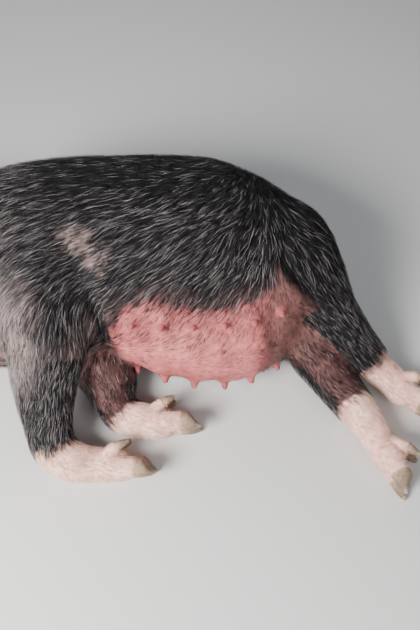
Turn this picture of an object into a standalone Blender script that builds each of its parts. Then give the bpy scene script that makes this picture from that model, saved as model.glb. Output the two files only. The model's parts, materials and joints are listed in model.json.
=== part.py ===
"""A miniature pig sow at life size, lying on her right side with her head stretched out.

Metres, +Z up. The sow's head points to -X, her back to +Y and her left side up, so the plane that
halves her body lies level. The origin is on the floor under her barrel.
Soft flesh is built from lofted forms that are fused and smoothed, crisp parts are joined to it,
and the whole is then parted with thin cuts where a person would name its parts.
"""

import math

import bpy
import bmesh
import numpy as np
from mathutils import Matrix, Vector
from mathutils.bvhtree import BVHTree

# Fineness of the fused flesh and of the parts cut from it
VOXEL = 0.004
GAP = 0.0003
BODY_FACES = 3500
# How much less the face is thinned, and where it starts: (distance from the poll, reach)
FINE_KEEP = 0.012
FINE_FACE = (0.02, 0.06)
# The feet are fine within (distance, reach) of a leg's last stations
FINE_FEET = (0.11, 0.05)
# Rounds of smoothing: over everything, and more where the flesh is soft
SMOOTH_ALL = 4
SMOOTH_SOFT = 22
# A dome that closes a round form: (distance beyond its last ring, size), as shares of its radius
DOME = [(0.55, 0.80), (0.85, 0.45)]

# Trunk: (x, edge of the back, edge of the belly, height of the upper flank)
TRUNK = [
    (-0.470, 0.100, -0.115, 0.185),
    (-0.420, 0.134, -0.160, 0.228),
    (-0.350, 0.154, -0.195, 0.260),
    (-0.260, 0.164, -0.205, 0.274),
    (-0.160, 0.170, -0.202, 0.279),
    (-0.060, 0.171, -0.205, 0.282),
    (0.030, 0.163, -0.205, 0.279),
    (0.100, 0.134, -0.198, 0.265),
    (0.150, 0.098, -0.178, 0.250),
    (0.195, 0.052, -0.150, 0.226),
    (0.228, 0.006, -0.115, 0.190),
    (0.242, -0.030, -0.085, 0.150),
]
TRUNK_SINK = 0.006
TRUNK_POWER = 2.25

# Udder: (x, y, z, radius), a swollen strip that sags towards the floor
UDDER = [
    (-0.120, -0.160, 0.100, 0.050),
    (-0.050, -0.172, 0.095, 0.066),
    (0.040, -0.176, 0.092, 0.072),
    (0.110, -0.160, 0.090, 0.062),
    (0.160, -0.130, 0.090, 0.045),
]

# Muscle masses: (centre), (half sizes), turn about Z in degrees
MASSES = {
    "shoulder_left": ((-0.300, -0.028, 0.184), (0.085, 0.128, 0.088), -12),
    "shoulder_right": ((-0.295, -0.035, 0.088), (0.085, 0.132, 0.086), -12),
    "haunch_left": ((0.155, -0.030, 0.168), (0.080, 0.100, 0.080), 30),
    "haunch_right": ((0.160, -0.030, 0.088), (0.085, 0.105, 0.086), 30),
    "belly": ((-0.010, -0.060, 0.140), (0.190, 0.148, 0.140), 0),
}

# Brisket: (x, y, z, radius), from the throat back to between the forelegs
BRISKET = [
    (-0.520, -0.060, 0.095, 0.058),
    (-0.460, -0.092, 0.098, 0.074),
    (-0.400, -0.120, 0.100, 0.083),
    (-0.340, -0.140, 0.100, 0.082),
    (-0.280, -0.150, 0.100, 0.070),
]

# Limbs: (x, y, z, radius) from the trunk down to the fetlock
FORELEG_LEFT = [
    (-0.288, -0.060, 0.180, 0.082),
    (-0.258, -0.150, 0.178, 0.078),
    (-0.245, -0.215, 0.150, 0.066),
    (-0.246, -0.275, 0.108, 0.051),
    (-0.243, -0.322, 0.070, 0.037),
    (-0.231, -0.356, 0.041, 0.0345),
    (-0.200, -0.372, 0.034, 0.0335),
    (-0.165, -0.375, 0.0300, 0.0300),
    (-0.132, -0.376, 0.0300, 0.0310),
]
FORELEG_RIGHT = [
    (-0.250, -0.090, 0.075, 0.072),
    (-0.190, -0.175, 0.062, 0.062),
    (-0.154, -0.228, 0.048, 0.045),
    (-0.143, -0.264, 0.037, 0.0355),
    (-0.125, -0.286, 0.031, 0.0325),
    (-0.090, -0.297, 0.0290, 0.0300),
    (-0.060, -0.300, 0.0290, 0.0305),
]
HINDLEG_LEFT = [
    (0.145, -0.005, 0.155, 0.082),
    (0.168, -0.060, 0.168, 0.078),
    (0.198, -0.095, 0.152, 0.062),
    (0.228, -0.124, 0.126, 0.047),
    (0.263, -0.155, 0.090, 0.0375),
    (0.296, -0.182, 0.056, 0.0355),
    (0.318, -0.197, 0.039, 0.0310),
    (0.340, -0.214, 0.0300, 0.0285),
    (0.364, -0.242, 0.0290, 0.0300),
]
HINDLEG_RIGHT = [
    (0.190, 0.000, 0.080, 0.085),
    (0.188, -0.095, 0.066, 0.072),
    (0.204, -0.162, 0.052, 0.053),
    (0.234, -0.215, 0.040, 0.039),
    (0.262, -0.256, 0.034, 0.0355),
    (0.284, -0.292, 0.0300, 0.0310),
    (0.303, -0.328, 0.0275, 0.0285),
    (0.318, -0.362, 0.0285, 0.0300),
]
LIMBS = {
    "foreleg_left": FORELEG_LEFT,
    "foreleg_right": FORELEG_RIGHT,
    "hindleg_left": HINDLEG_LEFT,
    "hindleg_right": HINDLEG_RIGHT,
}

# Tail: (x, y, z, radius), hanging from the rump and lying along the floor
TAIL = [
    (0.165, 0.015, 0.138, 0.020),
    (0.200, 0.048, 0.136, 0.0170),
    (0.220, 0.078, 0.112, 0.0125),
    (0.222, 0.098, 0.070, 0.0105),
    (0.214, 0.114, 0.030, 0.0095),
    (0.200, 0.136, 0.0088, 0.0092),
    (0.188, 0.166, 0.0082, 0.0086),
    (0.181, 0.194, 0.0086, 0.0092),
    (0.178, 0.220, 0.0080, 0.0086),
    (0.177, 0.240, 0.0056, 0.0058),
]
TAIL_SIDES = 10
TAIL_STEPS = 2

# Neck: (x, y, z, half width across the sow, half depth from crest to throat)
NECK_POWER = 2.1
NECK = [
    (-0.380, -0.010, 0.125, 0.120, 0.146),
    (-0.440, -0.010, 0.112, 0.110, 0.128),
    (-0.500, -0.010, 0.100, 0.100, 0.114),
    (-0.550, -0.008, 0.094, 0.093, 0.103),
]

# Head: its own frame starts at the poll and runs to the snout
HEAD_START = Vector((-0.545, 0.004, 0.0925))
HEAD_YAW = math.radians(11)
HEAD_SLOPE = math.radians(13)
HEAD_LENGTH = 0.219
HEAD_POWER = 2.2
# (distance from the poll, half width, height above the axis, depth below the axis)
SKULL = [
    (-0.030, 0.088, 0.088, 0.092),
    (0.020, 0.086, 0.086, 0.086),
    (0.055, 0.081, 0.077, 0.074),
    (0.080, 0.073, 0.064, 0.058),
    (0.102, 0.062, 0.050, 0.047),
    (0.122, 0.053, 0.0415, 0.0385),
    (0.145, 0.0470, 0.0385, 0.0325),
    (0.170, 0.0430, 0.0365, 0.0300),
    (0.192, 0.0415, 0.0350, 0.0300),
    (0.206, 0.0420, 0.0355, 0.0310),
    (0.214, 0.0440, 0.0380, 0.0330),
    (HEAD_LENGTH, 0.0430, 0.0370, 0.0320),
]
# (distance from the poll, depth of the middle below the axis, half width, half height)
JAW = [
    (0.010, 0.050, 0.068, 0.052),
    (0.055, 0.050, 0.065, 0.048),
    (0.092, 0.0475, 0.054, 0.0395),
    (0.120, 0.0445, 0.045, 0.0325),
    (0.146, 0.0420, 0.0375, 0.0270),
    (0.172, 0.0400, 0.0320, 0.0230),
    (0.192, 0.0370, 0.0260, 0.0175),
]
# Soft masses of the head: (along, across, up) in its own frame, half sizes. Both sides get one
HEAD_MASSES = {
    "jowl": ((0.020, 0.038, -0.050), (0.080, 0.050, 0.054)),
    "cheek": ((0.060, 0.050, -0.012), (0.056, 0.038, 0.046)),
    "brow": ((0.076, 0.040, 0.038), (0.036, 0.030, 0.026)),
    "eye_mound": ((0.098, 0.045, 0.019), (0.026, 0.0205, 0.020)),
    "upper_lip": ((0.172, 0.025, -0.016), (0.044, 0.0165, 0.0130)),
}

# Eyes: place in the head's frame, sizes of the ball, the lids and the slit between them
EYE_PLACE = (0.100, 0.0535, 0.0190)
EYE_RADIUS = 0.0115
LID_THICKNESS = 0.0030
EYE_SLIT = (0.0105, 0.0052)
EYE_LOOK = (0.42, 0.88, 0.20)
# The slit runs ahead and down, and narrows to its corners; it is cut as (distance out, size) rings
SLIT_WAY = (0.95, -0.30)
SLIT_POWER = 1.35
SLIT_SECTIONS = [(0.003, 0.8), (EYE_RADIUS, 1.0), (EYE_RADIUS + 0.012, 1.35)]

# Mouth: the line between the lips at the side of the head, as (distance from the poll, height)
MOUTH_SIDE = [(0.100, -0.0275), (0.113, -0.0300), (0.133, -0.0265), (0.156, -0.0245), (0.177, -0.0240)]
MOUTH_ROUND = 0.018
MOUTH_TURNS = (70, 45, 22, 0)
MOUTH_RADIUS = 0.0028
MOUTH_SINK = 0.0012

# Snout disc and its nostrils
SNOUT_LENGTH = 0.0160
NOSTRIL_PLACE = (HEAD_LENGTH, 0.0158, 0.0000)
NOSTRIL_SIZE = (0.0135, 0.0068, 0.0100)
# A nostril is narrow along this way: (out, up)
NOSTRIL_WAY = (0.92, 0.30)

# Ears: base in the head's frame, and for each side the way it points and the way its cup faces
EAR_BASE = (0.012, 0.050, 0.050)
EAR_LENGTH = 0.100
EAR_THICKNESS = 0.0046
EAR_CURL = 0.16
EAR_COLUMNS = 8
# How much an ear thins: from this share of its thickness at the base, by this much to the tip and edges
EAR_TAPER = (1.1, 0.5, 0.45)
EAR_ROOT = {1: 0.24, -1: 0.34}
EAR_LIE = {
    1: {"axis": (-0.42, 0.48, 0.77), "cup": (0.72, 0.69, 0.0)},
    -1: {"axis": (-0.50, -0.06, 0.87), "cup": (0.20, -0.98, 0.0)},
}
# (share of the length, radius of the bend, half of its arc in degrees)
EAR_SECTIONS = [
    (-0.16, 0.0160, 100),
    (0.00, 0.0180, 112),
    (0.15, 0.0235, 104),
    (0.35, 0.0340, 74),
    (0.55, 0.0460, 50),
    (0.75, 0.0560, 29),
    (0.90, 0.0600, 15),
    (1.00, 0.0600, 4),
]

# Feet: the limb, the way its toes point and the roll that lifts the sole, in degrees
FEET = {
    "forefoot_left": ("foreleg_left", (1.0, -0.06, 0.0), 24),
    "forefoot_right": ("foreleg_right", (1.0, -0.04, 0.0), 14),
    "hindfoot_left": ("hindleg_left", (0.74, -0.67, 0.0), 20),
    "hindfoot_right": ("hindleg_right", (0.34, -0.94, 0.0), 12),
}
# Each foot has two main toes and two dew claws
TOE_SPREAD = 0.0165
TOE_LENGTH = 0.033
HOOF_LENGTH = 0.034
TOE_RADIUS = 0.0165
CLAW_LENGTH = 0.020
CLAW_RADIUS = 0.0085
HORN_POWER = 2.3
# A toe's way swings out by this much; its rings are (share of its length, size), narrower across
TOE_SPLAY = 0.10
TOE_SECTIONS = [(-0.35, 0.94), (0.20, 1.0), (0.75, 0.97), (1.0, 1.0)]
TOE_NARROW = 0.93
# Dew claws, in the foot's ways: base, way, and the start of the fleshy root
CLAW_BASE = (0.002, 0.019, -0.0325)
CLAW_WAY = (0.80, 0.10, -0.42)
CLAW_INSIDE = (-0.022, 0.012, -0.010)
CLAW_ROOT_SECTIONS = [(0, 1.0), (0.55, 1.2), (1, 1.08)]
CLAW_SECTIONS = [(0, 1.0), (0.35, 0.95), (0.75, 0.68), (1, 0.30)]
CLAW_FLAT = 0.9
# A hoof from its upper rim to its point: (share of its length, front, back and side as shares of a toe)
HOOF_SECTIONS = [
    (0.00, 1.00, 1.00, 0.95),
    (0.30, 0.95, 0.98, 0.96),
    (0.50, 0.88, 0.72, 0.92),
    (0.72, 0.76, 0.20, 0.78),
    (0.90, 0.62, -0.16, 0.54),
    (1.00, 0.50, -0.34, 0.26),
]

# Teats: pairs along the udder, and one teat's sizes
TEAT_XS = [-0.105, -0.055, -0.005, 0.045, 0.092, 0.136]
TEAT_ROWS = {"upper": 0.178, "lower": 0.062}
TEAT_RADIUS = 0.0060
# A teat droops from the way the skin faces, and is built of (distance out, size) rings
TEAT_DROOP = Vector((0, -0.5, -0.1))
TEAT_SECTIONS = [(-0.010, 3.4), (0.001, 1.9), (0.005, 1.05), (0.012, 0.9)]

# Coat: flat, tapered locks rooted in the flesh, which rise along their length and overlap
SEED = 8
LOCK_TRIES = 6000
LOCK_SPACING = 0.0497
LOCK_LENGTH = (0.072, 0.092)
LOCK_WIDTH = (0.024, 0.032)
LOCK_TWIST = 0.22
LOCK_THICKNESS = 0.0026
# (share of the length, share of the width, height of the middle above the flesh)
LOCK_SECTIONS = [(0.00, 0.70, -0.0040), (0.33, 1.00, 0.0026), (0.70, 0.62, 0.0050)]
LOCK_TIP = 0.0066
# How far a hair leans towards the tail for each step it runs towards the belly, at places along X
LIE = [
    (-0.62, 1.6),
    (-0.50, 0.9),
    (-0.40, -0.2),
    (-0.33, -0.9),
    (-0.25, -1.5),
    (-0.08, -1.5),
    (0.00, -1.15),
    (0.07, -0.55),
    (0.12, 0.0),
    (0.17, 0.7),
    (0.22, 1.5),
]
# On a limb the hair turns along it: (first station, distance over which it turns, how far)
LIMB_LIE = (1, 0.05, 0.85)
# No locks grow below this height, where the flesh faces down, near the head's cut, or on the udder
LOCK_FLOOR = 0.035
LOCK_UNDER = -0.35
LOCK_HEAD = -0.025
UDDER_BARE = {"x": (-0.21, 0.20), "y": -0.10, "z": 0.215}
LOWER_LEGS = {"y": -0.30, "x": 0.245}
# Distance that the roots of locks keep from the tail
TAIL_CLEAR = 0.095

# Where the thin cuts are: on the head's axis, on X, and as stations of the tail and the limbs
HEAD_CUT = -0.010
NECK_CUT = -0.425
TAIL_CUT = 2
CUT_TILT = (0.03, 0.02, 1)
NECK_CUT_WAY = (-1, 0.05, 0)
# The cells that part the limbs are this much wider than their radius, and end beyond the foot
LIMB_SWELL = 1.25
FOOT_SWELL = 1.30
CELL_CLEAR = 0.006
FOOT_REACH = (0.10, 1.35)
LIMB_CUTS = {
    "foreleg_left": (2, 5, "forefoot_left"),
    "foreleg_right": (2, 4, "forefoot_right"),
    "hindleg_left": (2, 5, "hindfoot_left"),
    "hindleg_right": (2, 4, "hindfoot_right"),
}

# Looks as (base colour, roughness), and the words in a node's name that choose one; the rest is coat
COLOURS = {
    "coat": ((0.018, 0.018, 0.020), 0.6),
    "sock": ((0.72, 0.52, 0.44), 0.6),
    "snout": ((0.085, 0.055, 0.058), 0.45),
    "horn": ((0.34, 0.25, 0.17), 0.45),
    "eye": ((0.012, 0.008, 0.006), 0.1),
}
LOOKS = [("hoof", "horn"), ("claw", "horn"), ("foot", "sock"), ("snout", "snout"), ("eye", "eye")]


def clear_scene():
    for obj in list(bpy.data.objects):
        bpy.data.objects.remove(obj)


def collection(name):
    made = bpy.data.collections.new(name)
    bpy.context.scene.collection.children.link(made)
    return made


def material(look, name):
    """A material of its own for a node, with one of the looks above."""
    colour, roughness = COLOURS[look]
    made = bpy.data.materials.new(f"{name}_{look}")
    made.use_nodes = True
    shader = made.node_tree.nodes["Principled BSDF"]
    shader.inputs["Base Color"].default_value = (*colour, 1.0)
    shader.inputs["Roughness"].default_value = roughness
    return made


def link_mesh(name, mesh, where):
    obj = bpy.data.objects.new(name, mesh)
    where.objects.link(obj)
    return obj


def smooth_rows(rows, steps):
    """The rows of numbers with a smooth curve through them, at steps points to each stretch."""
    rows = np.array(rows, float)
    padded = np.vstack([2 * rows[0] - rows[1], rows, 2 * rows[-1] - rows[-2]])
    filled = []
    for first in range(len(rows) - 1):
        a, b, c, d = padded[first : first + 4]
        for t in np.arange(steps) / steps:
            filled.append(
                0.5
                * (2 * b + (c - a) * t + (2 * a - 5 * b + 4 * c - d) * t**2 + (3 * b - a - 3 * c + d) * t**3)
            )
    filled.append(rows[-1])
    return np.array(filled)


def oval(centre, across, up, right, left, above, below, power, sides):
    """A ring of points whose four quarters may reach out by different sizes."""
    ring = []
    for k in range(sides):
        angle = 2 * math.pi * k / sides
        c, s = math.cos(angle), math.sin(angle)
        x = math.copysign(abs(c) ** (2 / power), c) * (right if c > 0 else left)
        y = math.copysign(abs(s) ** (2 / power), s) * (above if s > 0 else below)
        ring.append(Vector(centre) + Vector(across) * x + Vector(up) * y)
    return ring


def loft(name, rings, where):
    """A closed solid through rings of equal point counts, with a fan at each end."""
    shape = bmesh.new()
    rows = [[shape.verts.new(p) for p in ring] for ring in rings]
    for near, far in zip(rows, rows[1:]):
        for k in range(len(near)):
            j = (k + 1) % len(near)
            shape.faces.new((near[k], near[j], far[j], far[k]))
    for row in (rows[0], rows[-1]):
        middle = shape.verts.new(sum((v.co for v in row), Vector()) / len(row))
        for k in range(len(row)):
            shape.faces.new((row[k], row[(k + 1) % len(row)], middle))
    bmesh.ops.recalc_face_normals(shape, faces=shape.faces)
    mesh = bpy.data.meshes.new(name)
    shape.to_mesh(mesh)
    shape.free()
    return link_mesh(name, mesh, where)


def ball(name, centre, radii, where, turn=None, segments=24):
    """An ellipsoid; turn is a 3 x 3 matrix."""
    shape = bmesh.new()
    bmesh.ops.create_uvsphere(shape, u_segments=segments, v_segments=segments // 2, radius=1)
    place = Matrix.Translation(centre) @ (turn or Matrix.Identity(3)).to_4x4() @ Matrix.Diagonal((*radii, 1))
    shape.transform(place)
    mesh = bpy.data.meshes.new(name)
    shape.to_mesh(mesh)
    shape.free()
    return link_mesh(name, mesh, where)


def block(name, origin, axis, across, reach, width, height, where):
    """A box that starts at origin, runs along axis by reach and is centred on it."""
    axis = Vector(axis).normalized()
    across = (Vector(across) - axis * axis.dot(Vector(across))).normalized()
    up = axis.cross(across)
    shape = bmesh.new()
    bmesh.ops.create_cube(shape, size=1)
    turn = Matrix((axis, across, up)).transposed().to_4x4()
    middle = Vector(origin) + axis * (reach / 2)
    shape.transform(Matrix.Translation(middle) @ turn @ Matrix.Diagonal((reach, width, height, 1)))
    mesh = bpy.data.meshes.new(name)
    shape.to_mesh(mesh)
    shape.free()
    made = link_mesh(name, mesh, where)
    made.hide_render = True
    made.display_type = "WIRE"
    return made


def round_rings(rows, sides):
    """Rings of points round the path of (x, y, z, radius), without twist."""
    rings = []
    across = Vector((0, 0, 1))
    for k, row in enumerate(rows):
        ahead = Vector(rows[min(k + 1, len(rows) - 1)][:3]) - Vector(rows[max(k - 1, 0)][:3])
        ahead.normalize()
        across = (across - ahead * ahead.dot(across)).normalized()
        r = row[3]
        rings.append(oval(row[:3], across, ahead.cross(across), r, r, r, r, 2, sides))
    return rings


def rounded_end(rows, rings):
    """Smaller rings beyond the last one, which close a form off as a dome."""
    tip = rings[-1]
    middle = sum(tip, Vector()) / len(tip)
    ahead = (Vector(rows[-1][:3]) - Vector(rows[-2][:3])).normalized()
    return [
        [middle + (p - middle) * share + ahead * rows[-1][3] * out for p in tip]
        for out, share in DOME
    ]


def limb(name, stations, where, sides=20, steps=4):
    """A round tapering form along stations of (x, y, z, radius), with a dome at its end."""
    rows = smooth_rows(stations, steps)
    rings = round_rings(rows, sides)
    return loft(name, rings + rounded_end(rows, rings), where)


def tail_rings():
    """Rings from inside the rump to the tip, flat where the tail lies on the floor."""
    rows = smooth_rows(TAIL, TAIL_STEPS)
    rings = round_rings(rows, TAIL_SIDES)
    rings += rounded_end(rows, rings)
    return [[Vector((p.x, p.y, max(p.z, 0))) for p in ring] for ring in rings]


def tail_root(where):
    """The tail up to where it is parted from the torso."""
    return loft("tail_root", tail_rings()[: TAIL_CUT * TAIL_STEPS + 1], where)


def tail(where):
    """The tail beyond a gap."""
    rings = tail_rings()[TAIL_CUT * TAIL_STEPS :]
    near, far = (sum(ring, Vector()) / len(ring) for ring in rings[:2])
    step = (far - near).normalized() * (2 * GAP)
    rings[0] = [p + step for p in rings[0]]
    return loft("tail", rings, where)


def trunk(where):
    rings = []
    for x, back, belly, top in smooth_rows(TRUNK, 4):
        middle, half = (back + belly) / 2, (back - belly) / 2
        centre = (x, middle, (top - TRUNK_SINK) / 2)
        rise = (top + TRUNK_SINK) / 2
        rings.append(oval(centre, (0, 1, 0), (0, 0, 1), half, half, rise, rise, TRUNK_POWER, 40))
    return loft("trunk", rings, where)


def neck(where):
    rings = [
        oval((x, y, z), (0, 1, 0), (0, 0, 1), deep, deep, wide, wide, NECK_POWER, 32)
        for x, y, z, wide, deep in smooth_rows(NECK, 4)
    ]
    return loft("neck_form", rings, where)


def head_axes():
    """The head's own directions: forward to the snout, out to her left, up to the crown."""
    level = math.cos(HEAD_SLOPE)
    ahead = Vector((-math.cos(HEAD_YAW) * level, -math.sin(HEAD_YAW) * level, -math.sin(HEAD_SLOPE)))
    crown = Vector((-math.sin(HEAD_YAW), math.cos(HEAD_YAW), 0))
    return ahead, crown.cross(ahead), crown


def in_head(along, out, up):
    ahead, left, crown = head_axes()
    return HEAD_START + ahead * along + left * out + crown * up


def head_turn():
    return Matrix(head_axes()).transposed()


def head_forms(where):
    ahead, left, crown = head_axes()
    forms = []
    rings = [
        oval(in_head(s, 0, 0), left, crown, wide, wide, above, below, HEAD_POWER, 36)
        for s, wide, above, below in smooth_rows(SKULL, 4)
    ]
    forms.append(loft("skull", rings, where))
    rings = [
        oval(in_head(s, 0, -deep), left, crown, wide, wide, high, high, HEAD_POWER, 28)
        for s, deep, wide, high in smooth_rows(JAW, 4)
    ]
    forms.append(loft("jaw_form", rings, where))
    for name, ((along, out, up), radii) in HEAD_MASSES.items():
        for side in (1, -1):
            forms.append(ball(f"{name}_{side}", in_head(along, side * out, up), radii, where, head_turn()))
    return forms


def body_forms(where):
    forms = [trunk(where), neck(where), limb("udder_form", UDDER, where)]
    forms.append(limb("brisket_form", BRISKET, where))
    for name, (centre, radii, degrees) in MASSES.items():
        turn = Matrix.Rotation(math.radians(degrees), 3, "Z")
        forms.append(ball(name, centre, radii, where, turn, 32))
    for name, stations in LIMBS.items():
        forms.append(limb(f"{name}_form", stations, where))
    return forms + head_forms(where)


def applied(obj, name, where):
    """A new object with the modifiers of obj made real; obj is removed."""
    graph = bpy.context.evaluated_depsgraph_get()
    mesh = bpy.data.meshes.new_from_object(obj.evaluated_get(graph))
    mesh.transform(obj.matrix_world)
    bpy.data.objects.remove(obj)
    return link_mesh(name, mesh, where)


def joined(name, objects, where):
    """One mesh that holds all the objects, which are then removed."""
    shape = bmesh.new()
    for obj in objects:
        shape.from_mesh(obj.data)
    mesh = bpy.data.meshes.new(name)
    shape.to_mesh(mesh)
    shape.free()
    for obj in objects:
        bpy.data.objects.remove(obj)
    return link_mesh(name, mesh, where)


def points_of(mesh):
    places = np.empty(len(mesh.vertices) * 3, np.float32)
    mesh.vertices.foreach_get("co", places)
    return places.reshape(-1, 3).astype(float)


def fineness(places, feet):
    """From 0 on the trunk to 1 on the face and, if feet is set, on the feet too."""
    ahead = np.array(head_axes()[0])
    along = (places - np.array(HEAD_START)) @ ahead
    keep = np.clip((along - FINE_FACE[0]) / FINE_FACE[1], 0, 1)
    if not feet:
        return keep
    for stations in LIMBS.values():
        end = np.array(stations[-4][:3])
        off = np.linalg.norm(places - end, axis=1)
        keep = np.maximum(keep, np.clip((FINE_FEET[0] - off) / FINE_FEET[1], 0, 1))
    return keep


def fused(name, forms, where):
    """The forms as one smooth skin."""
    obj = joined(name, forms, where)
    remesh = obj.modifiers.new("Fuse", "REMESH")
    remesh.mode = "VOXEL"
    remesh.voxel_size = VOXEL
    obj = applied(obj, name, where)
    keep = fineness(points_of(obj.data), True)
    group = obj.vertex_groups.new(name="soft")
    for level in range(11):
        chosen = np.nonzero(np.round(keep * 10) == level)[0]
        if len(chosen):
            group.add(chosen.tolist(), 1 - level / 10, "REPLACE")
    fine = obj.modifiers.new("Smooth all", "SMOOTH")
    fine.factor, fine.iterations = 0.5, SMOOTH_ALL
    soft = obj.modifiers.new("Smooth flesh", "SMOOTH")
    soft.factor, soft.iterations, soft.vertex_group = 0.5, SMOOTH_SOFT, "soft"
    return applied(obj, name, where)


def thinned(source, name, faces, where):
    """A copy of source with about that many triangles, more of them on the face."""
    obj = link_mesh(name, source.data.copy(), where)
    keep = fineness(points_of(obj.data), False)
    group = obj.vertex_groups.new(name="plain")
    for level in range(5):
        chosen = np.nonzero(np.round(keep * 4) == level)[0]
        if len(chosen):
            group.add(chosen.tolist(), 1 - FINE_KEEP * level / 4, "REPLACE")
    obj.data.calc_loop_triangles()
    thin = obj.modifiers.new("Thin", "DECIMATE")
    thin.ratio = faces / len(obj.data.loop_triangles)
    thin.vertex_group = "plain"
    thin.vertex_group_factor = 1.0
    thin.use_collapse_triangulate = True
    return applied(obj, name, where)


def boolean(obj, operation, other, name, where):
    """obj combined with another object, or with all those of a collection, by the MANIFOLD solver."""
    step = obj.modifiers.new("Combine", "BOOLEAN")
    step.operation = operation
    step.solver = "MANIFOLD"
    if isinstance(other, bpy.types.Collection):
        step.operand_type = "COLLECTION"
        step.collection = other
    else:
        step.object = other
    return applied(obj, name, where)


def largest(obj):
    """Keeps the largest closed surface of obj."""
    shape = bmesh.new()
    shape.from_mesh(obj.data)
    shape.verts.ensure_lookup_table()
    seen, islands = set(), []
    for start in shape.verts:
        if start.index in seen:
            continue
        island, edge = {start.index}, [start]
        while edge:
            for link in edge.pop().link_edges:
                for v in link.verts:
                    if v.index not in island:
                        island.add(v.index)
                        edge.append(v)
        seen |= island
        islands.append(island)
    keep = max(islands, key=len)
    bmesh.ops.delete(shape, geom=[v for v in shape.verts if v.index not in keep], context="VERTS")
    shape.to_mesh(obj.data)
    shape.free()
    return obj


def shell(name, outer, inner, where):
    """A closed solid between two grids of points, as the two faces of a bent leaf."""
    shape = bmesh.new()
    front = [[shape.verts.new(p) for p in row] for row in outer]
    back = [[shape.verts.new(p) for p in row] for row in inner]
    for rows in (front, back):
        for near, far in zip(rows, rows[1:]):
            for k in range(len(near) - 1):
                shape.faces.new((near[k], near[k + 1], far[k + 1], far[k]))
    for side in (0, -1):
        for k in range(len(front) - 1):
            shape.faces.new((front[k][side], front[k + 1][side], back[k + 1][side], back[k][side]))
    for row in (0, -1):
        for k in range(len(front[0]) - 1):
            shape.faces.new((front[row][k], front[row][k + 1], back[row][k + 1], back[row][k]))
    bmesh.ops.recalc_face_normals(shape, faces=shape.faces)
    mesh = bpy.data.meshes.new(name)
    shape.to_mesh(mesh)
    shape.free()
    return link_mesh(name, mesh, where)


def ear(name, side, first, last, steps, where):
    """The stretch of an ear from first to last, as shares of its length: side is 1 left, -1 right."""
    ahead, left, crown = head_axes()
    lie = EAR_LIE[side]
    axis = (ahead * lie["axis"][0] + left * lie["axis"][1] + crown * lie["axis"][2]).normalized()
    mouth = ahead * lie["cup"][0] + left * lie["cup"][1] + crown * lie["cup"][2]
    mouth = (mouth - axis * axis.dot(mouth)).normalized()
    across = axis.cross(mouth)
    base = in_head(EAR_BASE[0], side * EAR_BASE[1], EAR_BASE[2])
    shares = [row[0] for row in EAR_SECTIONS]
    outer, inner = [], []
    for u in np.linspace(first, last, steps):
        radius = np.interp(u, shares, [row[1] for row in EAR_SECTIONS])
        reach = math.radians(np.interp(u, shares, [row[2] for row in EAR_SECTIONS]))
        thick = EAR_THICKNESS * (EAR_TAPER[0] - EAR_TAPER[1] * max(u, 0))
        spine = base + axis * (EAR_LENGTH * u) + mouth * (EAR_LENGTH * EAR_CURL * max(u, 0) ** 2)
        rows = ([], [])
        for k in range(EAR_COLUMNS + 1):
            angle = reach * (2 * k / EAR_COLUMNS - 1)
            edge = 1 - EAR_TAPER[2] * abs(2 * k / EAR_COLUMNS - 1) ** 3
            for row, r in zip(rows, (radius + thick * edge / 2, radius - thick * edge / 2)):
                bend = mouth * (radius - r * math.cos(angle)) + across * (r * math.sin(angle))
                row.append(spine + bend)
        outer.append(rows[0])
        inner.append(rows[1])
    return shell(name, outer, inner, where)


def surface_of(obj):
    corners = [v.co.copy() for v in obj.data.vertices]
    return BVHTree.FromPolygons(corners, [p.vertices[:] for p in obj.data.polygons])


def teats(flesh, where):
    """Small teats in pairs, each on a low mound, where a ray from her front meets the udder."""
    skin = surface_of(flesh)
    for row, height in TEAT_ROWS.items():
        for k, x in enumerate(TEAT_XS):
            place, normal, _, _ = skin.ray_cast(Vector((x, -0.6, height)), Vector((0, 1, 0)))
            out = (normal + TEAT_DROOP).normalized()
            stations = [(*(place + out * reach), TEAT_RADIUS * size) for reach, size in TEAT_SECTIONS]
            limb(f"teat_{row}_{k}", stations, where, 8, 1)


def foot_axes(foot):
    """Along the toes, from the lower toe to the upper one, and out of the front of the foot."""
    _, axis, roll = FEET[foot]
    axis = Vector(axis).normalized()
    front = axis.cross(Vector((0, 0, 1))).normalized()
    across = front.cross(axis)
    c, s = math.cos(math.radians(roll)), math.sin(math.radians(roll))
    return axis, across * c + front * s, front * c - across * s


def foot_end(foot):
    """A station beyond the toes, where a cell for this foot may end."""
    x, y, z, r = LIMBS[FEET[foot][0]][-1]
    end = Vector((x, y, z)) + foot_axes(foot)[0] * FOOT_REACH[0]
    return (*end, r * FOOT_REACH[1])


def toe_frame(foot, side):
    """Where a toe starts and its own directions; side is 1 for the upper toe, -1 for the lower."""
    axis, across, front = foot_axes(foot)
    end = Vector(LIMBS[FEET[foot][0]][-1][:3])
    along = (axis + across * (side * TOE_SPLAY)).normalized()
    width = (across - along * along.dot(across)).normalized()
    rise = along.cross(width)
    return end + across * (side * TOE_SPREAD), along, width, rise * rise.dot(front)


def toe(foot, side, where):
    start, along, width, front = toe_frame(foot, side)
    rings = []
    for share, size in TOE_SECTIONS:
        r = TOE_RADIUS * size
        side_reach = r * TOE_NARROW
        centre = start + along * (TOE_LENGTH * share)
        rings.append(oval(centre, width, front, side_reach, side_reach, r, r, HORN_POWER, 12))
    return loft(f"toe_{foot}_{side}", rings, where)


def hoof(name, foot, side, where):
    start, along, width, front = toe_frame(foot, side)
    r = TOE_RADIUS
    rings = []
    for share, above, below, wide in HOOF_SECTIONS:
        half = r * (above + below) / 2
        centre = start + along * (TOE_LENGTH + GAP + HOOF_LENGTH * share) + front * (r * above - half)
        rings.append(oval(centre, width, front, r * wide, r * wide, half, half, HORN_POWER, 12))
    return loft(name, rings, where)


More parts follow.
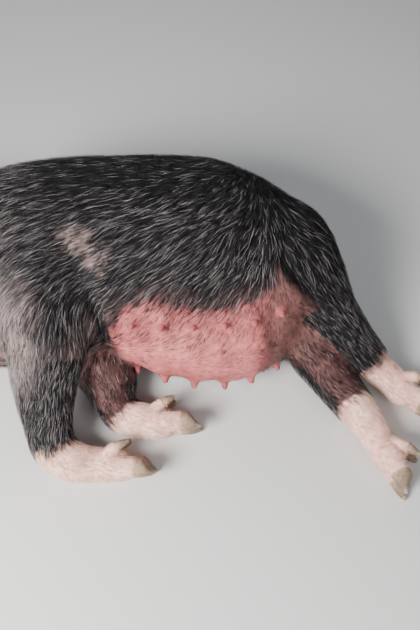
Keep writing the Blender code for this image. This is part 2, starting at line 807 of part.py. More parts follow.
def foot_place(foot, side, sizes):
    """A step in the foot's own ways: along the toes, out to the chosen side and out of the front."""
    axis, across, front = foot_axes(foot)
    return axis * sizes[0] + across * (side * sizes[1]) + front * sizes[2]


def claw_frame(foot, side):
    end = Vector(LIMBS[FEET[foot][0]][-1][:3])
    return end + foot_place(foot, side, CLAW_BASE), foot_place(foot, side, CLAW_WAY).normalized()


def claw_root(foot, side, where):
    base, along = claw_frame(foot, side)
    across = foot_axes(foot)[1]
    inside = Vector(LIMBS[FEET[foot][0]][-1][:3]) + foot_place(foot, side, CLAW_INSIDE)
    rings = []
    for share, size in CLAW_ROOT_SECTIONS:
        centre = inside.lerp(base, share)
        ahead = (base - inside).normalized().lerp(along, share).normalized()
        width = (across - ahead * ahead.dot(across)).normalized()
        r = CLAW_RADIUS * size
        rings.append(oval(centre, width, ahead.cross(width), r, r, r, r, 2, 8))
    return loft(f"claw_root_{foot}_{side}", rings, where)


def dewclaw(name, foot, side, where):
    base, along = claw_frame(foot, side)
    across = foot_axes(foot)[1]
    width = (across - along * along.dot(across)).normalized()
    rings = []
    for share, size in CLAW_SECTIONS:
        r = CLAW_RADIUS * size
        centre = base + along * (GAP + CLAW_LENGTH * share)
        rings.append(oval(centre, width, along.cross(width), r, r, r * CLAW_FLAT, r * CLAW_FLAT, 2, 8))
    return loft(name, rings, where)


def eye_frame(side):
    """Centre of an eye, the way it looks and the way its slit runs."""
    ahead, left, crown = head_axes()
    look = (ahead * EYE_LOOK[0] + left * (side * EYE_LOOK[1]) + crown * EYE_LOOK[2]).normalized()
    slit = ahead * SLIT_WAY[0] + crown * SLIT_WAY[1]
    slit = (slit - look * look.dot(slit)).normalized()
    return in_head(EYE_PLACE[0], side * EYE_PLACE[1], EYE_PLACE[2]), look, slit


def eye_slit(side, where):
    """An almond-shaped rod from inside the eyeball out through the lids."""
    centre, look, slit = eye_frame(side)
    height = look.cross(slit)
    rings = []
    for out, grow in SLIT_SECTIONS:
        ring = []
        for k in range(16):
            angle = 2 * math.pi * k / 16
            x = math.cos(angle) * EYE_SLIT[0] * grow
            y = math.copysign(abs(math.sin(angle)) ** SLIT_POWER, math.sin(angle)) * EYE_SLIT[1] * grow
            ring.append(centre + look * out + slit * x + height * y)
        rings.append(ring)
    return loft(f"eye_slit_{side}", rings, where)


def mouth_groove(flesh, where):
    """A fine tube along the line where the lips meet, from one corner round the chin to the other."""
    skin = surface_of(flesh)
    ahead, left, crown = head_axes()
    points = []
    for along, height in MOUTH_SIDE:
        place = skin.ray_cast(in_head(along, 0.15, height), -left)[0]
        points.append((along, (place - HEAD_START).dot(left) - MOUTH_SINK, height))
    end, wide, height = points[-1]
    for degrees in MOUTH_TURNS:
        angle = math.radians(degrees)
        points.append((end + MOUTH_ROUND * math.cos(angle), wide * math.sin(angle), height))
    smooth = points[:1]
    for k in range(1, len(points) - 1):
        smooth.append(tuple(np.average(points[k - 1 : k + 2], axis=0, weights=(1, 2, 1))))
    smooth.append(points[-1])
    smooth += [(along, -wide, height) for along, wide, height in smooth[-2::-1]]
    return limb("mouth_groove", [(*in_head(*p), MOUTH_RADIUS) for p in smooth], where, 6, 2)


def nostril(side, where):
    centre = in_head(NOSTRIL_PLACE[0], side * NOSTRIL_PLACE[1], NOSTRIL_PLACE[2])
    ahead, left, crown = head_axes()
    out = (left * (NOSTRIL_WAY[0] * side) + crown * NOSTRIL_WAY[1]).normalized()
    turn = Matrix((ahead, out, ahead.cross(out))).transposed()
    return ball(f"nostril_{side}", centre, NOSTRIL_SIZE, where, turn, 14)


def split(flesh, name, cell, where):
    """Two objects: what the cell holds of the flesh, and the rest, with the gap between them."""
    inner, outer = cell(0.0), cell(GAP)
    piece = link_mesh(name, flesh.data.copy(), where)
    piece = boolean(piece, "INTERSECT", inner, name, where)
    rest = boolean(flesh, "DIFFERENCE", outer, flesh.name, where)
    for obj in (inner, outer):
        bpy.data.objects.remove(obj)
    return largest(piece), rest


def plane_cell(origin, axis, where, reach=0.6, width=0.9):
    """A maker of boxes that lie ahead of a plane: grown by the gap, they start that much behind it."""
    axis = Vector(axis).normalized()

    def made(grow):
        start = Vector(origin) - axis * grow
        return block("cell", start, axis, CUT_TILT, reach, width + grow, width + grow, where)

    return made


def limb_cell(stations, swell, where):
    """A maker of wide tubes along a limb, from their first station to beyond its end."""

    def made(grow):
        rows = [(x, y, z, r * swell + CELL_CLEAR + grow) for x, y, z, r in stations]
        back = (Vector(rows[0][:3]) - Vector(rows[1][:3])).normalized()
        rows[0] = (*(Vector(rows[0][:3]) + back * grow), rows[0][3])
        wide = loft("cell", round_rings(rows, 24), where)
        wide.hide_render = True
        return wide

    return made


def limb_flow(place):
    """The way down the nearest limb, and how much the coat follows it there."""
    best, flow = 1e9, Vector((0, -1, 0))
    for stations in LIMBS.values():
        for a, b in zip(stations[LIMB_LIE[0] :], stations[LIMB_LIE[0] + 1 :]):
            start, step = Vector(a[:3]), Vector(b[:3]) - Vector(a[:3])
            share = (place - start).dot(step) / step.length_squared
            if share < 0 and a == stations[LIMB_LIE[0]]:
                continue
            off = (place - start - step * min(max(share, 0), 1)).length - a[3]
            if off < best:
                best, flow = off, step.normalized()
    return flow, min(max(1 - best / LIMB_LIE[1], 0), 1) if best > 0 else 1.0


def coat_lie(place, normal):
    """The way the coat lies at a place on the flesh, as a unit vector along the surface."""
    lean = np.interp(place.x, [row[0] for row in LIE], [row[1] for row in LIE])
    flow = Vector((float(lean), -1.0, 0)).normalized()
    down, share = limb_flow(place)
    flow = flow.lerp(down, share * LIMB_LIE[2])
    return (flow - normal * normal.dot(flow)).normalized()


def carries_locks(place, normal):
    """Locks grow on the neck, trunk and upper limbs, but not underneath, on the face or on the udder."""
    ahead = head_axes()[0]
    low, high = UDDER_BARE["x"]
    if place.z < LOCK_FLOOR or normal.z < LOCK_UNDER or (place - HEAD_START).dot(ahead) > LOCK_HEAD:
        return False
    if low < place.x < high and place.y < UDDER_BARE["y"] and place.z < UDDER_BARE["z"]:
        return False
    if place.y < LOWER_LEGS["y"] or place.x > LOWER_LEGS["x"]:
        return False
    return all((place - Vector(row[:3])).length > TAIL_CLEAR for row in TAIL[2:4])


def lock(name, skin, root, chance, where):
    """One lock that follows the flesh from its root along the lie of the coat."""
    place, normal = root
    length = LOCK_LENGTH[0] + (LOCK_LENGTH[1] - LOCK_LENGTH[0]) * chance.random()
    width = LOCK_WIDTH[0] + (LOCK_WIDTH[1] - LOCK_WIDTH[0]) * chance.random()
    twist = Matrix.Rotation(chance.uniform(-LOCK_TWIST, LOCK_TWIST), 3, normal)
    rings, done = [], 0.0
    for share, wide, lift in [*LOCK_SECTIONS, (1.0, 0.0, LOCK_TIP)]:
        for _ in range(2 if share else 0):
            aim = coat_lie(place, normal)
            place, normal, _, _ = skin.find_nearest(place + (twist @ aim) * (length * (share - done) / 2))
        done = share
        ahead = coat_lie(place, normal)
        across = normal.cross(twist @ ahead).normalized() * (width * wide / 2)
        middle = place + normal * lift
        rise = normal * (LOCK_THICKNESS / 2)
        rings.append([middle - across - rise, middle + across - rise, middle + rise])
    shape = bmesh.new()
    rows = [[shape.verts.new(p) for p in ring] for ring in rings[:-1]]
    shape.faces.new(rows[0])
    for near, far in zip(rows, rows[1:]):
        for k in range(3):
            shape.faces.new((near[k], near[k - 1], far[k - 1], far[k]))
    tip = shape.verts.new(rings[-1][2])
    for k in range(3):
        shape.faces.new((rows[-1][k], rows[-1][k - 1], tip))
    bmesh.ops.recalc_face_normals(shape, faces=shape.faces)
    mesh = bpy.data.meshes.new(name)
    shape.to_mesh(mesh)
    shape.free()
    return link_mesh(name, mesh, where)


def locks(flesh, where):
    """Locks at evenly spaced roots all over the parts of the flesh that carry them."""
    skin = surface_of(flesh)
    mesh = flesh.data
    mesh.calc_loop_triangles()
    chance = np.random.default_rng(SEED)
    areas = np.array([t.area for t in mesh.loop_triangles])
    picked = chance.choice(len(areas), LOCK_TRIES, p=areas / areas.sum())
    roots = []
    for index in picked:
        a, b, c = (mesh.vertices[v].co for v in mesh.loop_triangles[index].vertices)
        u, v = sorted(chance.random(2))
        place, normal, _, _ = skin.find_nearest(a * u + b * (v - u) + c * (1 - v))
        if not carries_locks(place, normal):
            continue
        if all((place - other).length > LOCK_SPACING for other, _ in roots):
            roots.append((place, normal))
    for k, root in enumerate(roots):
        lock(f"lock_{k}", skin, root, chance, where)


def emptied(group):
    for obj in list(group.objects):
        bpy.data.objects.remove(obj)


def dressed(obj, finish):
    obj.data.materials.clear()
    obj.data.materials.append(finish)
    obj.data.shade_smooth()


def floor_block(where):
    return block("floor", (0, 0, -0.3), (0, 0, 1), (1, 0, 0), 0.3, 3, 3, where)


def whole_body(work, soft, crisp, cutters):
    """The sow in one closed piece, without her eyes, ears and horn."""
    whole = fused("whole", body_forms(soft), work)
    flesh = thinned(whole, "flesh", BODY_FACES, work)
    bpy.data.objects.remove(whole)
    teats(flesh, crisp)
    locks(flesh, crisp)
    tail_root(crisp)
    for side in (1, -1):
        ear(f"ear_root_{side}", side, EAR_SECTIONS[0][0], EAR_ROOT[side], 4, crisp)
        ball(f"lids_{side}", eye_frame(side)[0], [EYE_RADIUS + LID_THICKNESS] * 3, crisp, segments=18)
        for foot in FEET:
            toe(foot, side, crisp)
            claw_root(foot, side, crisp)
    flesh = boolean(flesh, "UNION", crisp, "flesh", work)
    emptied(crisp)
    mouth_groove(flesh, cutters)
    for side in (1, -1):
        nostril(side, cutters)
        eye_slit(side, cutters)
        ball(f"socket_{side}", eye_frame(side)[0], [EYE_RADIUS + GAP] * 3, cutters, segments=14)
    floor_block(cutters)
    flesh = boolean(flesh, "DIFFERENCE", cutters, "flesh", work)
    emptied(cutters)
    return largest(flesh)


def main():
    clear_scene()
    work, soft, crisp, cutters = (collection(n) for n in ("nodes", "soft", "crisp", "cutters"))
    flesh = whole_body(work, soft, crisp, cutters)
    ahead = head_axes()[0]
    cells = {
        "snout": plane_cell(in_head(HEAD_LENGTH - SNOUT_LENGTH, 0, 0), ahead, work, 0.1, 0.2),
        "head": plane_cell(in_head(HEAD_CUT, 0, 0), ahead, work),
        "neck": plane_cell((NECK_CUT, 0, 0), NECK_CUT_WAY, work),
    }
    for limb_name, (cut, foot_cut, foot_name) in LIMB_CUTS.items():
        stations = LIMBS[limb_name]
        cells[foot_name] = limb_cell(stations[foot_cut:] + [foot_end(foot_name)], FOOT_SWELL, work)
        cells[limb_name] = limb_cell(stations[cut:] + [foot_end(foot_name)], LIMB_SWELL, work)
    nodes = {}
    for name, cell in cells.items():
        nodes[name], flesh = split(flesh, name, cell, work)
    nodes["torso"] = largest(link_mesh("torso", flesh.data.copy(), work))
    bpy.data.objects.remove(flesh)
    nodes["tail"] = tail(work)
    for side, word in ((1, "left"), (-1, "right")):
        nodes[f"ear_{word}"] = ear(f"ear_{word}", side, EAR_ROOT[side] + GAP / EAR_LENGTH, 1.0, 9, work)
        nodes[f"eye_{word}"] = ball(f"eye_{word}", eye_frame(side)[0], [EYE_RADIUS] * 3, work, segments=14)
    for foot in FEET:
        for side, word in ((1, "upper"), (-1, "lower")):
            for kind, maker in (("hoof", hoof), ("dewclaw", dewclaw)):
                name = f"{kind}_{foot.replace('foot', '')}_{word}"
                horn = maker(name, foot, side, work)
                cut = floor_block(cutters)
                nodes[name] = largest(boolean(horn, "DIFFERENCE", cut, name, work))
                bpy.data.objects.remove(cut)
    for name, obj in nodes.items():
        look = next((look for word, look in LOOKS if word in name), "coat")
        dressed(obj, material(look, name))


main()
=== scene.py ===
"""The looks of a miniature pig sow at life size, lying on her right side with her head stretched out.

Metres, +Z up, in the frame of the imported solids: her head points to -X, her back to +Y, and her left
side is up. One skin takes the place of the solids of flesh, and her coat grows on it in small tufts.
"""

import json
import math

import bmesh
import bpy
import numpy as np
from mathutils import Matrix, Vector, noise
from mathutils.bvhtree import BVHTree
from mathutils.kdtree import KDTree

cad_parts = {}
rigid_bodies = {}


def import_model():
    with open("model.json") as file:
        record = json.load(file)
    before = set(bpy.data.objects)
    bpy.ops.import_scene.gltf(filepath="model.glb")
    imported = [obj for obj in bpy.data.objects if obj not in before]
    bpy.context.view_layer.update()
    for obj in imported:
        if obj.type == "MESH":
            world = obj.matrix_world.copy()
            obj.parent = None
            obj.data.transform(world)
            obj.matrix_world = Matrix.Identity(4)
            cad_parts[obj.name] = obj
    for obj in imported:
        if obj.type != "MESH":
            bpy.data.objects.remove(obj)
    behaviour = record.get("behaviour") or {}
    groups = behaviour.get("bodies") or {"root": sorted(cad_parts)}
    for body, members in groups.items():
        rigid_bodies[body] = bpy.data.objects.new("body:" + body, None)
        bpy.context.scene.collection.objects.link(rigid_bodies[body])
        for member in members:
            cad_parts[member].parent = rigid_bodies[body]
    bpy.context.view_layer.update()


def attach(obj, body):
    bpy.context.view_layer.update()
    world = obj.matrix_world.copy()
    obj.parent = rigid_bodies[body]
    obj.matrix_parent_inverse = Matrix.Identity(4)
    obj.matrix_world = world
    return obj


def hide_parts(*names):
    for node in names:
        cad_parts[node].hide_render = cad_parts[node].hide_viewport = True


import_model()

# Barrel, neck and udder
# The trunk of a heavy sow who lies on her right side, with the swollen strip of her udder in front.
# It is soft flesh, lofted through ovals across the body and later fused with her legs and head.
TRUNK = [  # x, edge of the back, edge of the belly, height of the upper flank
    (-0.470, 0.100, -0.115, 0.185),
    (-0.420, 0.134, -0.160, 0.228),
    (-0.350, 0.154, -0.195, 0.260),
    (-0.260, 0.164, -0.205, 0.274),
    (-0.160, 0.170, -0.202, 0.279),
    (-0.060, 0.171, -0.205, 0.282),
    (0.030, 0.163, -0.205, 0.279),
    (0.100, 0.134, -0.198, 0.265),
    (0.150, 0.098, -0.178, 0.250),
    (0.195, 0.052, -0.150, 0.226),
    (0.228, 0.006, -0.115, 0.190),
    (0.242, -0.030, -0.085, 0.150),
]
TRUNK_SINK = 0.006
NECK = [  # x, y, z, half width across the sow, half depth from crest to throat
    (-0.380, -0.010, 0.125, 0.120, 0.146),
    (-0.440, -0.010, 0.112, 0.110, 0.128),
    (-0.500, -0.010, 0.100, 0.100, 0.114),
    (-0.550, -0.008, 0.094, 0.093, 0.103),
]
UDDER = [  # x, y, z, radius
    (-0.120, -0.160, 0.100, 0.050),
    (-0.050, -0.172, 0.095, 0.066),
    (0.040, -0.176, 0.092, 0.072),
    (0.110, -0.160, 0.090, 0.062),
    (0.160, -0.130, 0.090, 0.045),
]
BRISKET = [
    (-0.520, -0.060, 0.095, 0.058),
    (-0.460, -0.092, 0.098, 0.074),
    (-0.400, -0.120, 0.100, 0.083),
    (-0.340, -0.140, 0.100, 0.082),
    (-0.280, -0.150, 0.100, 0.070),
]
MASSES = [  # middle, half sizes, turn about Z in degrees
    ((-0.300, -0.028, 0.184), (0.085, 0.128, 0.088), -12),
    ((-0.295, -0.035, 0.088), (0.085, 0.132, 0.086), -12),
    ((0.155, -0.030, 0.168), (0.080, 0.100, 0.080), 30),
    ((0.160, -0.030, 0.088), (0.085, 0.105, 0.086), 30),
    ((-0.010, -0.060, 0.140), (0.190, 0.148, 0.140), 0),
]


def smooth_rows(rows, steps):
    """The rows of numbers with a smooth curve through them, at steps points to each stretch."""
    rows = np.array(rows, float)
    padded = np.vstack([2 * rows[0] - rows[1], rows, 2 * rows[-1] - rows[-2]])
    filled = []
    for first in range(len(rows) - 1):
        a, b, c, d = padded[first : first + 4]
        for t in np.arange(steps) / steps:
            bend = (2 * a - 5 * b + 4 * c - d) * t**2 + (3 * b - a - 3 * c + d) * t**3
            filled.append(0.5 * (2 * b + (c - a) * t + bend))
    filled.append(rows[-1])
    return np.array(filled)


def oval_loop(shape, centre, across, up, reach, power=2.0, sides=40):
    """A loop of edges round an oval; reach is its size to the right, left, top and bottom."""
    loop = bmesh.ops.create_circle(shape, cap_ends=False, radius=1, segments=sides)["verts"]
    for v in loop:
        c, s = v.co.x, v.co.y
        x = math.copysign(abs(c) ** (2 / power), c) * reach[0 if c > 0 else 1]
        y = math.copysign(abs(s) ** (2 / power), s) * reach[2 if s > 0 else 3]
        v.co = Vector(centre) + Vector(across) * x + Vector(up) * y
    return loop


def bridged(shape, loops):
    """Joins the loops one after another and closes both ends, with the faces that it returns."""
    edges = [list({e for v in loop for e in v.link_edges}) for loop in loops]
    for near, far in zip(edges, edges[1:]):
        bmesh.ops.bridge_loops(shape, edges=near + far)
    return [bmesh.ops.contextual_create(shape, geom=loop)["faces"][0] for loop in (loops[0], loops[-1])]


def round_loops(shape, rows, sides, closing=((0.55, 0.80), (0.85, 0.45))):
    """Loops round the path of (x, y, z, radius), without twist, with smaller ones that close its end."""
    loops = []
    across = Vector((0, 0, 1))
    for k, row in enumerate(rows):
        ahead = Vector(rows[min(k + 1, len(rows) - 1)][:3]) - Vector(rows[max(k - 1, 0)][:3])
        ahead.normalize()
        across = (across - ahead * ahead.dot(across)).normalized()
        loops.append(oval_loop(shape, row[:3], across, ahead.cross(across), [row[3]] * 4, 2, sides))
    for out, share in closing:
        middle = Vector(rows[-1][:3]) + ahead * (row[3] * out)
        loops.append(oval_loop(shape, middle, across, ahead.cross(across), [row[3] * share] * 4, 2, sides))
    return loops


flesh = bmesh.new()
trunk_loops = []
for x, back, belly, top in smooth_rows(TRUNK, 4):
    half = (back - belly) / 2
    rise = (top + TRUNK_SINK) / 2
    centre = (x, (back + belly) / 2, (top - TRUNK_SINK) / 2)
    trunk_loops.append(oval_loop(flesh, centre, (0, 1, 0), (0, 0, 1), (half, half, rise, rise), 2.25))
bridged(flesh, trunk_loops)
bridged(
    flesh,
    [
        oval_loop(flesh, (x, y, z), (0, 1, 0), (0, 0, 1), (deep, deep, wide, wide), 2.1)
        for x, y, z, wide, deep in smooth_rows(NECK, 4)
    ],
)
for stations in (UDDER, BRISKET):
    bridged(flesh, round_loops(flesh, smooth_rows(stations, 4), 24))
for centre, sizes, degrees in MASSES:
    place = Matrix.LocRotScale(centre, Matrix.Rotation(math.radians(degrees), 3, "Z"), sizes)
    bmesh.ops.create_uvsphere(flesh, u_segments=32, v_segments=16, radius=1, matrix=place)

# Legs
# Her two left legs hang over the right ones, which lie along the floor. Each is a bent, tapering
# limb down to the fetlock, and its foot goes on from there.
LIMBS = {  # x, y, z, radius
    "foreleg_left": [
        (-0.288, -0.060, 0.180, 0.082),
        (-0.258, -0.150, 0.178, 0.078),
        (-0.245, -0.215, 0.150, 0.066),
        (-0.246, -0.275, 0.108, 0.051),
        (-0.243, -0.322, 0.070, 0.037),
        (-0.231, -0.356, 0.041, 0.0345),
        (-0.200, -0.372, 0.034, 0.0335),
        (-0.165, -0.375, 0.0300, 0.0300),
        (-0.132, -0.376, 0.0300, 0.0310),
    ],
    "foreleg_right": [
        (-0.250, -0.090, 0.075, 0.072),
        (-0.190, -0.175, 0.062, 0.062),
        (-0.154, -0.228, 0.048, 0.045),
        (-0.143, -0.264, 0.037, 0.0355),
        (-0.125, -0.286, 0.031, 0.0325),
        (-0.090, -0.297, 0.0290, 0.0300),
        (-0.060, -0.300, 0.0290, 0.0305),
    ],
    "hindleg_left": [
        (0.145, -0.005, 0.155, 0.082),
        (0.168, -0.060, 0.168, 0.078),
        (0.198, -0.095, 0.152, 0.062),
        (0.228, -0.124, 0.126, 0.047),
        (0.263, -0.155, 0.090, 0.0375),
        (0.296, -0.182, 0.056, 0.0355),
        (0.318, -0.197, 0.039, 0.0310),
        (0.340, -0.214, 0.0300, 0.0285),
        (0.364, -0.242, 0.0290, 0.0300),
    ],
    "hindleg_right": [
        (0.190, 0.000, 0.080, 0.085),
        (0.188, -0.095, 0.066, 0.072),
        (0.204, -0.162, 0.052, 0.053),
        (0.234, -0.215, 0.040, 0.039),
        (0.262, -0.256, 0.034, 0.0355),
        (0.284, -0.292, 0.0300, 0.0310),
        (0.303, -0.328, 0.0275, 0.0285),
        (0.318, -0.362, 0.0285, 0.0300),
    ],
}
for stations in LIMBS.values():
    bridged(flesh, round_loops(flesh, smooth_rows(stations, 4), 20))

# Head
# The heavy, wedge-shaped head of a pot-bellied pig, with full jowls and a fairly short muzzle. It is
# modelled in a frame of its own that starts at the poll: along to the snout, out to her left, and up.
HEAD_START = Vector((-0.545, 0.004, 0.0925))
HEAD_YAW = math.radians(11)
HEAD_SLOPE = math.radians(13)
HEAD_LENGTH = 0.219
SKULL = [  # distance from the poll, half width, height above the axis, depth below it
    (-0.030, 0.088, 0.088, 0.092),
    (0.020, 0.086, 0.086, 0.086),
    (0.055, 0.081, 0.077, 0.074),
    (0.080, 0.073, 0.064, 0.058),
    (0.102, 0.062, 0.050, 0.047),
    (0.122, 0.053, 0.0415, 0.0385),
    (0.145, 0.0470, 0.0385, 0.0325),
    (0.170, 0.0430, 0.0365, 0.0300),
    (0.192, 0.0415, 0.0350, 0.0300),
    (0.206, 0.0420, 0.0355, 0.0310),
    (0.214, 0.0440, 0.0380, 0.0330),
    (HEAD_LENGTH, 0.0430, 0.0370, 0.0320),
]
JAW = [  # distance from the poll, depth of the middle below the axis, half width, half height
    (0.010, 0.050, 0.068, 0.052),
    (0.055, 0.050, 0.065, 0.048),
    (0.092, 0.0475, 0.054, 0.0395),
    (0.120, 0.0445, 0.045, 0.0325),
    (0.146, 0.0420, 0.0375, 0.0270),
    (0.172, 0.0400, 0.0320, 0.0230),
    (0.192, 0.0370, 0.0260, 0.0175),
]
HEAD_MASSES = [  # (along, out, up) and half sizes, once for each side
    ((0.020, 0.038, -0.050), (0.080, 0.050, 0.054)),
    ((0.060, 0.050, -0.012), (0.056, 0.038, 0.046)),
    ((0.076, 0.040, 0.038), (0.036, 0.030, 0.026)),
    ((0.098, 0.045, 0.019), (0.026, 0.0205, 0.020)),
    ((0.172, 0.025, -0.016), (0.044, 0.0165, 0.0130)),
]
AHEAD = Vector((
    -math.cos(HEAD_YAW) * math.cos(HEAD_SLOPE),
    -math.sin(HEAD_YAW) * math.cos(HEAD_SLOPE),
    -math.sin(HEAD_SLOPE),
))
CROWN = Vector((-math.sin(HEAD_YAW), math.cos(HEAD_YAW), 0))
LEFT = CROWN.cross(AHEAD)
HEAD_TURN = Matrix((AHEAD, LEFT, CROWN)).transposed()


def in_head(along, out, up):
    """The place at those distances in the head's frame."""
    return HEAD_START + AHEAD * along + LEFT * out + CROWN * up


bridged(
    flesh,
    [
        oval_loop(flesh, in_head(s, 0, 0), LEFT, CROWN, (wide, wide, above, below), 2.2)
        for s, wide, above, below in smooth_rows(SKULL, 4)
    ],
)
bridged(
    flesh,
    [
        oval_loop(flesh, in_head(s, 0, -deep), LEFT, CROWN, (wide, wide, high, high), 2.2, 28)
        for s, deep, wide, high in smooth_rows(JAW, 4)
    ],
)
for (along, out, up), sizes in HEAD_MASSES:
    for side in (1, -1):
        place = Matrix.LocRotScale(in_head(along, side * out, up), HEAD_TURN, sizes)
        bmesh.ops.create_uvsphere(flesh, u_segments=24, v_segments=12, radius=1, matrix=place)

# One skin over all of her flesh
# The forms are fused, smoothed as flesh is, and set in by the depth of the coat. The face gets a
# finer mesh, because its lids, lips and folds are small.
VOXEL = 0.0056
COAT_DEPTH = 0.0026
FACE_DEPTH = 0.0012


def made_object(name, shape):
    """An object from a bmesh, which is then freed."""
    mesh = bpy.data.meshes.new(name)
    shape.to_mesh(mesh)
    shape.free()
    obj = bpy.data.objects.new(name, mesh)
    bpy.context.scene.collection.objects.link(obj)
    return obj


def closed_object(name, shape):
    """An object from a closed bmesh, with its faces turned outwards."""
    bmesh.ops.recalc_face_normals(shape, faces=shape.faces)
    return made_object(name, shape)


def settled(obj):
    """Makes the modifiers of obj real."""
    graph = bpy.context.evaluated_depsgraph_get()
    mesh = bpy.data.meshes.new_from_object(obj.evaluated_get(graph))
    old = obj.data
    obj.modifiers.clear()
    obj.data = mesh
    bpy.data.meshes.remove(old)


def points_of(mesh):
    """The places of a mesh's points."""
    places = np.empty(len(mesh.vertices) * 3, np.float32)
    mesh.vertices.foreach_get("co", places)
    return places.reshape(-1, 3).astype(float)


def normals_of(mesh):
    """The ways that a mesh's points face."""
    ways = np.empty(len(mesh.vertices) * 3, np.float32)
    mesh.vertex_normals.foreach_get("vector", ways)
    return ways.reshape(-1, 3).astype(float)


def set_points(mesh, places):
    """Moves a mesh's points."""
    mesh.vertices.foreach_set("co", places.astype(np.float32).ravel())
    mesh.update()


def head_places(places):
    """(along, out, up) of many points in the head's frame."""
    return (places - np.array(HEAD_START)) @ np.array([AHEAD, LEFT, CROWN]).T


def ramp(values, low, high):
    """0 up to low, 1 from high on, and smooth between them."""
    t = np.clip((values - low) / (high - low), 0, 1)
    return t * t * (3 - 2 * t)


def fineness(places):
    """From 0 on the trunk to 1 on the face and the feet."""
    keep = np.clip((head_places(places)[:, 0] - 0.02) / 0.06, 0, 1)
    for stations in LIMBS.values():
        reach = np.linalg.norm(places - np.array(stations[-4][:3]), axis=1)
        keep = np.maximum(keep, np.clip((0.11 - reach) / 0.05, 0, 1))
    return keep


skin = made_object("skin", flesh)
remesh = skin.modifiers.new("Fuse", "REMESH")
remesh.mode = "VOXEL"
remesh.voxel_size = VOXEL
settled(skin)
group = skin.vertex_groups.new(name="soft")
levels = np.round(fineness(points_of(skin.data)) * 10)
for level in range(11):
    group.add(np.nonzero(levels == level)[0].tolist(), 1 - level / 10, "REPLACE")
firm = skin.modifiers.new("Smooth all", "SMOOTH")
firm.factor, firm.iterations = 0.5, 3
soft = skin.modifiers.new("Smooth flesh", "SMOOTH")
soft.factor, soft.iterations, soft.vertex_group = 0.5, 14, "soft"
settled(skin)
places = points_of(skin.data)
depth = COAT_DEPTH + (FACE_DEPTH - COAT_DEPTH) * fineness(places)
set_points(skin.data, places - normals_of(skin.data) * depth[:, None])

EYE_PLACE = (0.100, 0.0535, 0.0190)
EYE_SURROUND = 0.032


def eye_middle(side):
    """The middle of an eye; side is 1 for her left one and -1 for her right one."""
    return in_head(EYE_PLACE[0], side * EYE_PLACE[1], EYE_PLACE[2])


def near_details(places):
    """Whether points are near an eye, the mouth or the snout."""
    along, _, up = head_places(places).T
    eyes = [np.linalg.norm(places - np.array(eye_middle(side)), axis=1) < EYE_SURROUND for side in (1, -1)]
    mouth = (along > 0.090) & (up > -0.045) & (up < -0.008)
    return eyes[0] | eyes[1] | mouth | (along > 0.178)


def relaxed(shape, verts, times):
    """Smooths those points of a bmesh."""
    for _ in range(times):
        bmesh.ops.smooth_vert(
            shape, verts=verts, factor=0.5, use_axis_x=True, use_axis_y=True, use_axis_z=True
        )


def refined(obj, wanted):
    """Halves the mesh's edges where wanted says so, and rounds what that adds."""
    shape = bmesh.new()
    shape.from_mesh(obj.data)
    chosen = wanted(points_of(obj.data))
    edges = [e for e in shape.edges if chosen[e.verts[0].index] and chosen[e.verts[1].index]]
    bmesh.ops.subdivide_edges(shape, edges=edges, cuts=1, use_grid_fill=True)
    there = wanted(np.array([v.co for v in shape.verts]))
    inside = [v for v, yes in zip(shape.verts, there) if yes]
    relaxed(shape, inside, 2)
    shape.to_mesh(obj.data)
    shape.free()


refined(skin, lambda p: head_places(p)[:, 0] > -0.005)
refined(skin, near_details)

# Ears
# Small, upright, leaf-shaped ears: gristle with thin skin on both sides, cupped at the root and
# flatter towards the point. Each is a grid bent along its length and given a thickness.
EAR_BASE = (0.012, 0.050, 0.050)
EAR_LENGTH = 0.100
EAR_THICKNESS = 0.0036
EAR_CURL = 0.16
EAR_LIE = {
    1: {"axis": (-0.42, 0.48, 0.77), "cup": (0.72, 0.69, 0.0)},
    -1: {"axis": (-0.50, -0.06, 0.87), "cup": (0.20, -0.98, 0.0)},
}
EAR_SECTIONS = [  # share of the length, radius of the bend, half of its arc in degrees
    (-0.16, 0.0160, 100),
    (0.00, 0.0180, 112),
    (0.15, 0.0235, 104),
    (0.35, 0.0340, 74),
    (0.55, 0.0460, 50),
    (0.75, 0.0560, 29),
    (0.90, 0.0600, 15),
    (1.00, 0.0600, 4),
]
EAR_ROWS = 34
EAR_COLUMNS = 24
EAR_RIDGE = 0.0007
SORTING = Vector((0.53, 0.61, 0.59))  # puts what solidify makes in the same order each run


def ear_axes(side):
    """The ear's base, the way it points and the way its cup opens."""
    lie = EAR_LIE[side]
    axis = (HEAD_TURN @ Vector(lie["axis"])).normalized()
    cup = HEAD_TURN @ Vector(lie["cup"])
    base = in_head(EAR_BASE[0], side * EAR_BASE[1], EAR_BASE[2])
    return base, axis, (cup - axis * axis.dot(cup)).normalized()


def ear_spine(side, share):
    """The middle line of an ear's leaf, at a share of its length."""
    base, axis, cup = ear_axes(side)
    return base + axis * (EAR_LENGTH * share) + cup * (EAR_LENGTH * EAR_CURL * max(share, 0) ** 2)


def ear_point(side, share, turn):
    """A place on the middle of an ear's leaf; turn runs from -1 at one edge to 1 at the other."""
    _, axis, cup = ear_axes(side)
    shares = [row[0] for row in EAR_SECTIONS]
    radius = np.interp(share, shares, [row[1] for row in EAR_SECTIONS])
    arc = math.radians(np.interp(share, shares, [row[2] for row in EAR_SECTIONS]))
    ridge = EAR_RIDGE * math.cos(turn * 9) * max(share, 0) * (1 - share)
    bend = cup * (radius - (radius + ridge) * math.cos(arc * turn))
    return ear_spine(side, share) + bend + axis.cross(cup) * ((radius + ridge) * math.sin(arc * turn))


details = bpy.data.collections.new("details")


